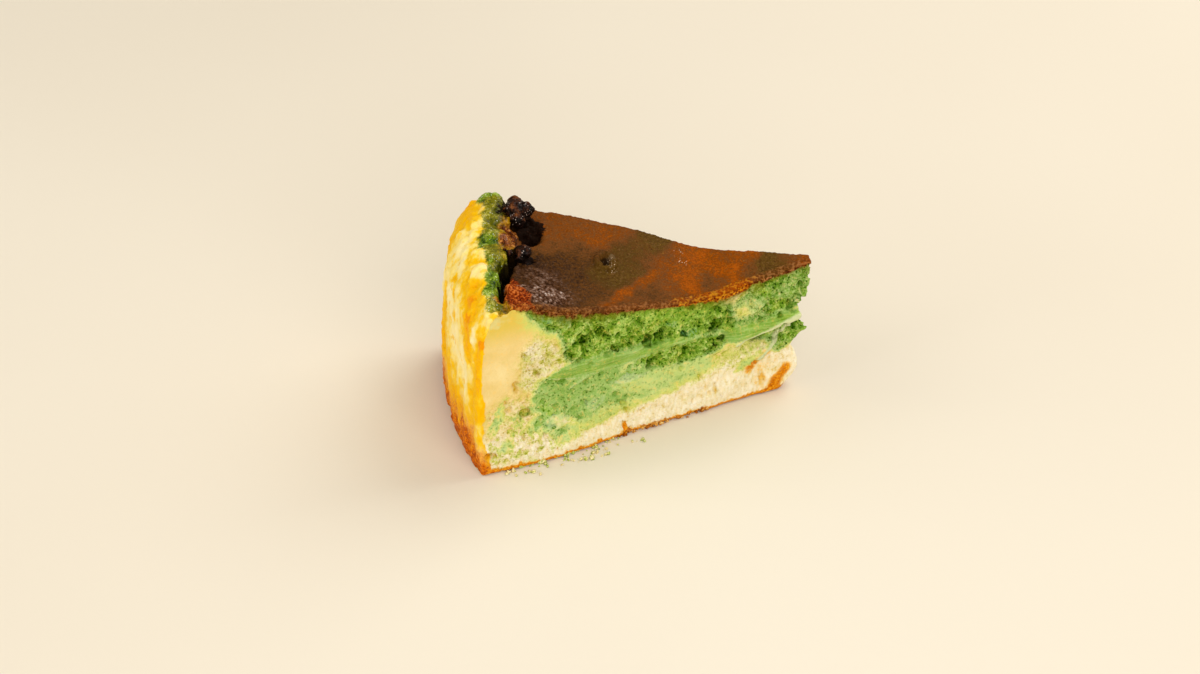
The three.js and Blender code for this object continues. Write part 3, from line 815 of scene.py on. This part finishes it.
# The rim's colour runs from bright green (0) over olive (0.45) and gold (0.7) to amber (1), laid
# on in soft spots: radius, angle, size, colour. The side's yellow caps the rim in one place.
rim_spots = [
    (107, 35.2, 4, 0), (104.6, 31.4, 4, 0.4), (101.6, 30.4, 3, 0.72), (100.2, 28.4, 3, 0.76),
    (104.4, 27.6, 3, 0.5), (104.6, 23.6, 3.6, 0.4), (107, 20.6, 3, 0.16), (101.6, 24.4, 2.4, 0.6),
    (98.4, 25.6, 3.4, 1.05), (98.6, 21.8, 3, 1), (99.4, 27.6, 2.2, 0.92), (104, 17, 3.6, 0.5),
    (100.8, 18.2, 2.4, 0.75), (107.4, 16.6, 2.2, 0.2), (107.8, 13.4, 2.8, 0.24), (104.4, 12.6, 2.6, 0.5),
    (108.2, 9.6, 3, 0.12), (106.8, 8, 2.4, 0.2), (109.4, 6.2, 2.6, 0.22), (107.6, 4.2, 2.2, 0.9),
    (111.5, 2.4, 2.4, 0.4), (109.6, 0.6, 2.4, 0.74), (112, 12, 2.5, 0.3), (107, 1.2, 2.6, 0.86),
]
rim_colour, = blended(rim_spots, 2.0, plan)
yellow_cap = 3.5 * spot(110.8, 11.4, 2.8)

# The crust's cut edge: its thickness along the near cut, and where it is golden.
crust_depth = (1 + 0.4 * grain(5.0, 2, 107.0)) * np.interp(
    along, [10.5, 12, 16, 20, 30, 42, 50, 60, 70, 78, 84, 90, 97, 104, 119],
    [0.3, 0.6, 1.6, 2.6, 3.0, 2.8, 2.0, 1.7, 1.9, 2.4, 3.2, 3.6, 2.8, 2.0, 2.0])
crust_gold = np.interp(
    along, [0, 14, 18, 40, 52, 64, 70, 80, 86, 94, 99, 106, 119],
    [0.6, 0.5, 0.35, 0.25, 0.1, 0.25, 0.6, 0.75, 0.9, 0.95, 0.4, 0.1, 0.3])

# The baked yellow of the side wraps onto the near cut's edge. Its colour runs from cream (0)
# over yellow (0.5) and amber (0.8) to orange (1.1), laid on in soft spots: place round the side,
# height, half widths, level.
arc = np.radians(angle) * cut_radius
wrap = np.interp(
    height, [0, 8, 15, 22, 30, 38, 44, 47, 49, 51, 53, 57, 60, 64],
    [3.0, 2.0, 1.2, 1.6, 0.4, 1.0, 0.6, 1.2, 2.6, 2.2, 1.2, 2.8, 4.6, 6.0])
wrapped = rises(wrap + 1.8 * wander + 1.6 * ripple - along, -1.6, 1.6)
baked = np.maximum(on_side, on_cut * wrapped * (1 - far_share))
side_spots = [
    (24, 59, 5, 3.4, 0.8), (17, 57, 4, 4, 0.95), (12.5, 52, 3.6, 5.5, 0.95), (9.6, 46, 3, 4, 0.9),
    (8, 41, 2.2, 3, 0.75), (0, 50, 3, 2.6, 1.15), (2, 43, 2.6, 5, 0.85), (1.9, 36, 2.4, 4, 0.8),
    (5.6, 28, 3, 6, 0.75), (1, 24, 3, 6, 0.7), (5.2, 55.2, 3, 3, 0.55), (6.5, 50, 1.2, 3.4, 0),
    (16, 37, 5, 6, 0.1), (12, 31, 4, 5, 0.12), (24, 40, 6, 9, 0.1), (35, 48, 6, 4, 0.1),
    (26, 46, 1.6, 1.6, 0.8), (43, 55, 2, 1.6, 0.8), (34, 53.5, 2, 1.6, 0.85), (30, 50, 1.4, 1.4, 0.75),
    (37, 57, 5, 3, 0.2), (46, 58, 5, 3, 0.15), (36, 60.5, 7, 1.6, 0.6), (56, 60.5, 8, 2, 0.75),
    (52, 57, 4, 5, 0.4), (58, 52, 4, 6, 0.8), (66, 57, 6, 4, 0.85), (73, 58, 4, 4, 0.8),
    (48, 46, 4, 6, 0.3), (42, 38, 4, 6, 0.75), (30, 26, 4, 5, 0.7), (44, 26, 5, 6, 0.8),
    (54, 36, 7, 9, 0.2), (66, 40, 6, 8, 0.6), (20, 18, 7, 4, 0.7), (60, 24, 6, 5, 0.3),
    (23.8, 62.8, 3, 2.2, 0.3),
]
yolk = np.full(len(point), 0.47)
for at_arc, at_height, half_wide, half_tall, level in side_spots:
    away = ((arc + 1.2 * wander + ripple - at_arc) / half_wide) ** 2
    away += ((height + 1.8 * wander + ripple - at_height) / half_tall) ** 2
    yolk += (level - yolk) * np.clip(1.2 * np.exp(-away), 0, 1)

# The browned base line with its spikes: along, rise and half width. The orange slivers near the
# tip: both ends, half width and strength.
base_spikes = [
    (25, 2, 0.9), (29, 2.5, 1.4), (34, 2.9, 1), (41, 2.8, 0.9), (51.5, 5.4, 1.5), (47, 2, 1.2),
    (56, 2, 1.2), (71, 1.8, 1.4),
]
slivers = [
    ((105.6, 0.6), (107.6, 4.4), 3.2, 1), ((107.6, 4.4), (111, 8.4), 2.4, 0.9),
    ((97.4, 11.8), (103, 16.6), 2.4, 0.7), ((101.6, 5), (102.6, 10.5), 2.8, 0.32),
]
base_line = 1.1 * np.abs(grain(2.0, 3, 50.0)) + np.interp(
    along, [0, 20, 40, 70, 95, 112, 120], [1.7, 1.2, 1.2, 1.1, 1.0, 1.6, 1.8])
for at_along, rise, width in base_spikes:
    base_line = np.maximum(base_line, rise * (1 - np.abs(along - at_along) / width))
toast = rises(base_line - height, -0.5, 0.5)
for start, end, width, strength in slivers:
    toast = np.maximum(toast, near_share * strength * streak(start, end, width))

# The mesh is thinned where it is smooth, and each value goes to the nearest point that is left.
fields = dict(
    along=along, height=height, arc=arc, lift=relief,
    on_cut=on_cut, on_base=on_base, baked=baked, below_top=below_top,
    tone=tone, crumb=crumb, smear=smear, mixed=mixed, teal=teal, veil=veil,
    bit=coarse_own + (fine_own - coarse_own) * 0.4, ridge=near_share * ridges, toast=toast,
    crust_depth=crust_depth, crust_gold=crust_gold, crust_gone=rises(along, 13, 10.5),
    scorch=scorch, olive=olive, red=red, blistered=blistered, soot=soot, brink=brink,
    burst=burst, glint=spot(66.4, 20.0, 2.2), sparkle=sparkle, yolk=yolk,
    rim=rim, rim_colour=rim_colour,
    rim_outer=np.maximum(radius - rim_outer, 0.4 - angle) + yellow_cap,
)
triangles = 2 * len(cake.data.polygons)
worked(cake, "DECIMATE", ratio=min(most_triangles / triangles, 1))
moved_tree = tree_of(moved)
nearest = [moved_tree.find(place)[1] for place in (numbers(cake, "co") / MM).tolist()]
for name, values in fields.items():
    carried(cake, name, values[nearest])


def cake_paint(start):
    """The colours of the whole slice. All noise is centred on 0, so that it shifts no balance."""
    kept = start.kept
    crumb = kept("crumb")
    lift = kept("lift")
    height = kept("height")
    on_cut = kept("on_cut")
    bit = kept("bit") - 0.5
    coarse = start.clouds(1.7, detail=4.0, roughness=0.6) - 0.5
    fine = start.clouds(0.6, roughness=0.65) - 0.5
    mottle = start.clouds(7) - 0.5
    specks = start.dots(0.8)

    # the marbled crumb: how light it is follows its relief, lighter on raised crumbs as painted light and
    # darker in pits and pores as painted shade, and the knife's lines
    cut_place = start.unrolled("along", "height")
    smear = kept("smear")
    airy = (crumb * 0.8 + kept("tone").rises(0.82, 0.6) * 0.55).held(0, 1)
    lines = start.clouds(0.7, longer=(12, 1, 1), place=cut_place) - 0.5
    strokes = start.clouds(2.6, detail=3.0, longer=(3, 1, 1), place=cut_place) - 0.5
    upright = start.clouds(1.2, detail=4.0, longer=(1, 2.2, 1), place=cut_place) - 0.5
    sunny = start.clouds(3.1) - 0.5
    pores = (start.dots(1.25) + fine * 1.1).rises(0.3, 0.12) * airy * (1 - smear)
    grainy = crumb * 0.85 + 0.15
    light = (
        lift.held(-2.4, 1.0) * 0.21 + bit * crumb * 0.28 + fine * grainy * 1.1 + coarse * grainy * 1.0
        + lines * smear * 0.7 + mottle * 0.35 - pores * 0.34 - smear * 0.07 + 0.56)
    deep_green = light.tint(
        (0, 40, 78, 0), (0.25, 94, 138, 22), (0.5, 134, 170, 56), (0.75, 172, 204, 98), (1, 208, 228, 146))
    sunny_green = light.tint(
        (0, 56, 76, 0), (0.25, 118, 142, 20), (0.5, 160, 180, 56), (0.75, 200, 210, 104), (1, 232, 234, 160))
    deep_green = (sunny.rises(0.03, 0.16) * 0.5).between(deep_green, sunny_green)
    tinged = kept("teal") * 0.6 * (fine + coarse).rises(-0.15, 0.15)
    deep_green = tinged.between(deep_green, (92, 164, 116))
    green = light.tint(
        (0, 50, 88, 6), (0.25, 104, 144, 44), (0.5, 144, 178, 88), (0.75, 176, 202, 124), (1, 216, 230, 174))
    pale_green = light.tint(
        (0, 118, 146, 52), (0.3, 160, 184, 92), (0.55, 189, 207, 124), (0.8, 209, 221, 150),
        (1, 232, 236, 180))
    yellow_green = light.tint(
        (0, 160, 160, 24), (0.3, 190, 192, 70), (0.6, 214, 214, 116), (1, 246, 240, 190))
    cream = light.tint(
        (0, 196, 140, 16), (0.3, 217, 180, 74), (0.55, 231, 202, 132), (0.75, 246, 229, 174),
        (1, 255, 248, 222))
    veins = (start.dots(1.7) + fine * 0.6 + coarse * 0.5).rises(0.42, 0.72) * crumb
    cream = (veins * 0.55).between(cream, (206, 204, 90))
    white_cream = (light + upright * 0.9 + strokes * 0.3).tint(
        (0, 200, 144, 36), (0.25, 224, 192, 112), (0.45, 236, 220, 174), (0.7, 247, 237, 210),
        (1, 255, 251, 236))
    upper = (height + mottle * 8).rises(46, 56)
    cream = (upper * 0.85).between(cream, (218, 188, 72))
    base_rise = (kept("along") - 40).held(0, 60) * 0.12
    near_base = (height - base_rise + mottle * 6 + coarse * 3).rises(17, 10)
    near_base = near_base + crumb.rises(0.6, 0.95) * (1 - near_base) * 0.6
    cream = near_base.between(cream, white_cream)
    # The tone picks one of these colours, along edges that the noise breaks up.
    mixed = kept("mixed")
    broken = (
        kept("tone") + bit * (mixed * 0.25 + crumb * 0.14) + coarse * (crumb * 0.2 + 0.24) + fine * 0.16
        + strokes * 0.28 - mixed * (mottle + 0.03).rises(0.0, 0.2) * 0.16 + mixed * coarse * 0.3)
    inner = broken.ladder(
        deep_green, (0.16, 0.38, green), (0.42, 0.6, pale_green), (0.56, 0.8, yellow_green),
        (0.73, 0.97, cream))
    # The whitish veil: the knife's cream over the green, and painted glints at the near top corner.
    veil_and_glint_share = (kept("veil") * 0.8 + strokes * 1.2 + coarse * 0.8).rises(0.3, 0.8)
    inner = (veil_and_glint_share * 0.34).between(inner, (214, 224, 184))
    toasted = kept("toast") + coarse * 1.0 + fine * 0.8
    inner = (toasted.rises(0.0, 0.5) * 0.75).between(inner, (238, 188, 66))
    toast_colour = (fine * 1.5 + coarse * 1.2 + kept("toast") * 0.2 + 0.32).tint(
        (0.1, 166, 74, 0), (0.45, 216, 124, 0), (0.9, 246, 182, 50))
    inner = toasted.rises(0.3, 0.75).between(inner, toast_colour)
    inner = (kept("ridge") * 0.9 + fine * 0.3).rises(0.15, 0.6).between(inner, (206, 210, 158))

    # the baked side
    runs = start.clouds(4.2, detail=4.0, roughness=0.6, longer=(1, 1, 1.9)) - 0.5
    drops = start.clouds(1.5, longer=(1, 1, 1.5)) - 0.5
    browned_to = height + runs * 26 + drops * 10 + (5 - kept("arc")).held(0, 5) * 1.4
    yolk = (kept("yolk") + runs * 0.85 + drops * 0.4 - lift * 0.08).tint(
        (0.1, 250, 230, 166), (0.42, 248, 218, 118), (0.54, 245, 198, 42), (0.66, 243, 185, 2),
        (0.88, 243, 176, 0), (1, 236, 148, 0))
    freckles = (start.dots(4.6) + drops * 0.6 + fine * 0.3).rises(0.3, 0.18)
    yolk = (freckles * kept("yolk").rises(0.75, 0.5) * 0.75).between(yolk, (245, 192, 24))
    brown_side = (fine * 1.4 + coarse * 1.2 + browned_to * 0.034 + 0.1).tint(
        (0.1, 166, 72, 4), (0.35, 208, 106, 10), (0.6, 230, 136, 8), (0.85, 238, 156, 8), (1, 242, 176, 12))
    side = browned_to.rises(25, 6).between(yolk, brown_side)

    # the burnt top
    leather = start.clouds(0.9, detail=3.0, roughness=0.65) - 0.5
    flecks = start.clouds(0.5) + leather * 0.6 - 0.5
    drift = start.clouds(9, detail=3.0, swirl=0.6) - 0.5
    blotch = start.clouds(3.4, detail=4.0, roughness=0.62) - 0.5
    scorch = kept("scorch") + drift * 0.35 + blotch * 0.5 + leather * 1.3
    burnt = scorch.tint(
        (0, 158, 75, 0), (0.25, 120, 59, 0), (0.5, 108, 63, 25), (0.75, 82, 49, 12), (0.9, 66, 39, 14),
        (1, 44, 22, 4))
    olive = (kept("olive") + drift * 0.8).rises(0.35, 0.95) * 0.75
    burnt = olive.between(burnt, (leather * 2.2 + 0.5).tint((0.1, 58, 38, 2), (0.9, 106, 78, 20)))
    burnt = (flecks.rises(0.04, 0.24) * 0.5).between(
        burnt, scorch.tint((0, 188, 104, 20), (0.5, 138, 82, 34), (1, 112, 80, 54)))
    burnt = (flecks.rises(-0.06, -0.28) * 0.55).between(burnt, (54, 22, 0))
    # its red, granular near corner and the grey blisters beside it, lighter on their bumps as painted light
    # and darker between them as painted shade
    granules = (fine * 1.8 + specks * 0.9 + lift * 0.25).tint(
        (0.15, 50, 8, 0), (0.4, 106, 32, 0), (0.65, 146, 54, 2), (0.95, 196, 108, 46))
    red = (kept("red") + leather * 1.2 + coarse * 0.6).rises(0.25, 0.6)
    burnt = (red * 0.95).between(burnt, granules)
    blistered = kept("blistered") * (1 - red)
    grains = start.dots(1.15) + coarse * 0.8 + fine * 0.9
    granular = (lift * 0.34 + fine * 1.3 + coarse * 1.3 - grains * 0.6 + 0.66).tint(
        (0.1, 32, 12, 0), (0.35, 76, 44, 24), (0.58, 126, 92, 72), (0.78, 176, 146, 130),
        (0.95, 230, 212, 200))
    burnt = (blistered * 0.92).between(burnt, granular)
    wet_specks = blistered * (grains - lift * 0.2).rises(0.2, 0.06)
    # the burst bubble, its pit painted dark as shade, with painted glints beside it: a grey shine and pale
    # sparkles
    burnt = ((kept("burst") + coarse + fine * 0.6).rises(-0.1, -0.8) * 0.8).between(burnt, (34, 20, 8))
    shine = (kept("glint") + coarse * 1.6 + fine * 1.6).rises(0.35, 0.9)
    burnt = (shine * 0.3).between(burnt, (132, 114, 92))
    sparkle_highlights = kept("sparkle").rises(0.05, 0.4) * (specks + fine * 0.9).rises(0.26, 0.12)
    burnt = (sparkle_highlights * 0.8).between(burnt, (220, 188, 150))

    # the rim
    inward = kept("along").rises(18, 5)
    # Knobs are lighter where the relief rises and darker where it sinks, as painted light and shade.
    knob_light = lift * 0.28 + coarse * 0.95 + fine * 1.1 + mottle * 0.5 + inward * 0.14 + 0.5
    bright = knob_light.tint(
        (0.1, 12, 32, 0), (0.35, 54, 78, 0), (0.55, 92, 116, 4), (0.75, 130, 152, 34), (1, 198, 212, 124))
    olive_rim = knob_light.tint(
        (0.1, 38, 42, 0), (0.35, 76, 78, 0), (0.55, 102, 98, 0), (0.75, 134, 128, 16), (1, 190, 182, 90))
    golden = knob_light.tint((0.1, 98, 62, 0), (0.45, 158, 112, 0), (0.75, 200, 150, 6), (1, 236, 204, 84))
    amber = (knob_light + fine * 0.9 + coarse * 0.7).tint(
        (0.1, 38, 10, 0), (0.4, 88, 35, 0), (0.7, 134, 67, 5), (0.95, 202, 138, 64))
    rim_colour = kept("rim_colour") + mottle * 0.5 + coarse * 0.4
    knobs = rim_colour.ladder(bright, (0.16, 0.42, olive_rim), (0.52, 0.74, golden), (0.7, 0.95, amber))
    # Painted whitish highlights on the green knobs, and pale painted highlights on the amber ones.
    greenish = (kept("rim_colour") + mottle).rises(0.8, 0.3)
    rim_highlights = (specks + fine * 1.1 - lift * 0.12).rises(0.13, 0.04) * greenish
    knobs = (rim_highlights * 0.75).between(knobs, (228, 232, 200))
    amber_highlights = (specks + fine * 1.2).rises(0.12, 0.02) * rim_colour.rises(0.78, 0.94)
    knobs = (amber_highlights * 0.6).between(knobs, (226, 184, 146))
    outer = (kept("rim_outer") + coarse * 2.4 + mottle * 9 + fine * 1.2).rises(-0.9, 0.9)
    knobs = outer.between(knobs, yolk)
    top = (kept("rim") + leather * 1.4 + coarse).rises(-0.7, 0.3).between(burnt, knobs)
    # The char round the lumps and the black painted shade of the crevice, the hollow and sheltered places,
    # laid over the top.
    soot = (kept("soot") + leather * 1.2 + coarse * 1.4).rises(0.35, 0.65)
    char_and_shade_colour = (fine * 1.8 + leather * 0.8 + 0.35).tint((0.3, 6, 2, 0), (0.7, 30, 14, 8), (1, 80, 52, 38))
    top = (soot * 0.97).between(top, char_and_shade_colour)

    # the crust's cut edge
    edge = (kept("below_top") + coarse * 3.2 + fine * 1.8) / kept("crust_depth")
    edge = edge + kept("crust_gone") * 20
    grit = fine * 1.4 + coarse * 1.0 + (start.dots(1.0) - 0.35) * 1.1 + 0.46
    brown_line = grit.tint((0.1, 60, 22, 0), (0.4, 94, 42, 4), (0.65, 118, 64, 20), (0.95, 166, 108, 60))
    gold_line = grit.tint((0.1, 84, 22, 0), (0.4, 134, 50, 0), (0.65, 172, 84, 2), (0.95, 220, 148, 26))
    crust_line = (kept("crust_gold") + coarse * 1.0).rises(0.3, 0.8).between(brown_line, gold_line)
    brink = (kept("brink") + coarse * 1.8 + fine * 1.4).rises(0.2, 1.0)
    top = (brink * (1 - soot) * 0.5).between(top, crust_line)
    # The cut turns a darker olive just under the crust.
    under_crust_olive = (edge.rises(2.3, 0.85) * 0.8).between(inner, (120, 116, 16))
    cut = edge.rises(0.7, 1.15).between(crust_line, under_crust_olive)

    colour = (on_cut + fine * 0.3).rises(0.35, 0.6).between(top, cut)
    colour = (kept("baked") + fine * 0.3).rises(0.35, 0.6).between(colour, side)
    under = (fine * 1.4 + mottle * 0.8 + 0.5).tint(
        (0.2, 150, 80, 22), (0.5, 186, 116, 44), (0.85, 218, 156, 78))
    colour = kept("on_base").between(colour, under)
    roughness = (fine * 0.3 + 0.5) - on_cut * 0.08 - smear * 0.1 - blistered * 0.12
    bump = (
        fine * (crumb * 0.6 + 0.1) * on_cut + lines * smear * 0.5 - pores * on_cut * 0.25
        + veins * on_cut * -0.3 + leather * (1 - on_cut) * (blistered * 0.7 + 0.3) - specks * blistered * 0.5)
    wet = (kept("rim") + coarse).rises(-0.6, 0.4) * (1 - on_cut) * (0.24 - outer * 0.18) * (1 - soot)
    return colour, roughness, bump, wet + wet_specks * 0.6 + sparkle_highlights * 0.6


cake.data.materials.append(surface("baked_cheesecake", cake_paint, depth=0.08))
smoothed(cake)
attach(cake, "root")
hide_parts("cheesecake_slice")

# The burnt lumps: clots of dough that charred on the crust, one near the far cut and one beside
# the crevice with a small one of its own. Each is a cluster of balls, by radius, angle, height
# and size, baked into one craggy, glassy cinder.
lump_balls = [
    (97.4, 31.2, 61.8, 4.3), (94.4, 31.8, 61.9, 2.8), (99.8, 30.8, 61, 2.4), (96.6, 29.3, 60.6, 2.7),
    (92.6, 32.2, 61.9, 1.4), (98, 32.8, 63.2, 2.5), (95.8, 30.2, 58.6, 2.6), (93.6, 33, 60.4, 1.9),
    (94.8, 17.8, 60.5, 2.5), (96.2, 16.9, 59.2, 1.9), (93.6, 18.9, 59.2, 1.7), (95.4, 18.8, 58.8, 2.4),
    (99.4, 17.9, 60.4, 1.3), (100.8, 18.3, 61.3, 0.8),
]
lump_voxel = 0.2
crag_size = 2.2
crag_depth = 0.4
lump = joined([ball(*place, (size,) * 3) for *place, size in lump_balls])
lump.name = "burnt_lumps"
bpy.ops.object.transform_apply()
worked(lump, "REMESH", mode="VOXEL", voxel_size=lump_voxel * MM)
lump_point = numbers(lump, "co") / MM
crags = np.array([
    noise.fractal(place, 1.0, 2.0, 3) - 0.9 * abs(noise.noise(Vector(place) * 0.9))
    for place in (lump_point / crag_size).tolist()])
placed(lump, lump_point + numbers(lump, "normal") * crag_depth * crags[:, None])
carried(lump, "crag", crags)


def cinder_paint(start):
    crag = start.kept("crag")
    fine = start.clouds(0.6, detail=3.0, roughness=0.65) - 0.5
    coarse = start.clouds(3.0) - 0.5
    specks = start.dots(0.8)
    outwards = start.node("ShaderNodeNewGeometry", output=1)
    upward = start.node("ShaderNodeSeparateXYZ", None, {"Vector": outwards}, 2)
    heat = crag * 0.5 + fine * 1.6 + 0.35
    char = heat.tint((0.1, 6, 2, 0), (0.5, 26, 12, 8), (0.9, 84, 54, 42))
    baked = heat.tint((0.1, 36, 12, 0), (0.5, 84, 40, 8), (0.9, 140, 84, 42))
    # The upper faces turn red-brown: partly a toasted crown, partly painted light from above.
    toasted = (upward + coarse * 2.0 + fine * 0.8 + crag * 0.3).rises(0.25, 0.8)
    colour = (toasted * 0.85).between(char, baked)
    # Pale painted glints, mostly on faces that turn up and where the crags sink.
    lit_specks = (specks + fine * 0.9).rises(0.24, 0.1) * (upward + coarse * 2).rises(-0.2, 0.3)
    glints = lit_specks * crag.rises(0.3, -0.3)
    colour = (glints * 0.8).between(colour, (196, 172, 158))
    return colour, fine * 0.5 + 0.4, fine * 0.35, glints * 0.8 + 0.12


lump.data.materials.append(surface("charred_dough", cinder_paint))
smoothed(lump)
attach(lump, "root")

# The crumbs: bits of the marbled crumb that fell in front of the cut as the slice was made, and
# browned bits of the foot that cling along its lower edge. They are small craggy lumps that lie
# loose, each kind as one piece.
crumb_draw = np.random.default_rng(12)
crumb_crag = 0.45


def bits(name, count, alongs, outs, sizes, highest):
    """Crumbs in front of the near cut. Most lie close to it, are small and lie low."""
    def skewed(smallest, largest):
        return smallest + (largest - smallest) * crumb_draw.random() ** 2

    made = []
    for _ in range(count):
        foot = on_cake(cut_radius - crumb_draw.triangular(*alongs), 0)
        size = skewed(*sizes)
        out = skewed(*outs)
        level = size * 0.6 + skewed(0.0, highest)
        bpy.ops.mesh.primitive_ico_sphere_add(
            subdivisions=2, radius=size * MM,
            location=((foot[0] + out * near_out[0]) * MM, (foot[1] + out * near_out[1]) * MM, level * MM),
            rotation=tuple(crumb_draw.uniform(0, 3, 3)), scale=tuple(crumb_draw.uniform(0.6, 1.15, 3)))
        made.append(bpy.context.object)
    piece = joined(made)
    piece.name = name
    bpy.ops.object.transform_apply()
    places = numbers(piece, "co") / MM
    rough = np.array([noise.noise(Vector(place) * 1.6) for place in places.tolist()])
    places += numbers(piece, "normal") * crumb_crag * rough[:, None] * min(sizes[1], 1.0)
    places[:, 2] = np.maximum(places[:, 2], 0.0)
    placed(piece, places)
    smoothed(piece)
    return piece


def crumb_paint(start):
    fine = start.clouds(0.5) - 0.5
    kind = start.clouds(4) - 0.5
    lit = fine * 1.6 + 0.5
    pale = lit.tint((0.1, 214, 186, 106), (0.6, 246, 228, 168), (1, 255, 246, 214))
    green = lit.tint((0.1, 140, 160, 50), (0.6, 196, 206, 104), (1, 232, 234, 166))
    return (kind + fine * 0.6).rises(-0.06, 0.08).between(green, pale), 0.6, fine * 0.5, 0.0


def toasted_paint(start):
    fine = start.clouds(0.5) - 0.5
    kind = start.clouds(3) - 0.5
    colour = (fine * 1.6 + kind * 1.4 + 0.5).tint(
        (0.1, 120, 52, 4), (0.4, 176, 98, 20), (0.7, 222, 160, 70), (1, 244, 212, 140))
    return colour, 0.55, fine * 0.5, 0.0


loose = bits("loose_crumbs", 120, (6, 24, 58), (0.5, 8), (0.2, 0.95), 0.0)
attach(loose, "root")
loose.data.materials.append(surface("marbled_crumbs", crumb_paint))
clinging = bits("toasted_crumbs", 150, (14, 42, 92), (-0.1, 1.1), (0.25, 0.95), 1.3)
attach(clinging, "root")
clinging.data.materials.append(surface("toasted_crumbs", toasted_paint))
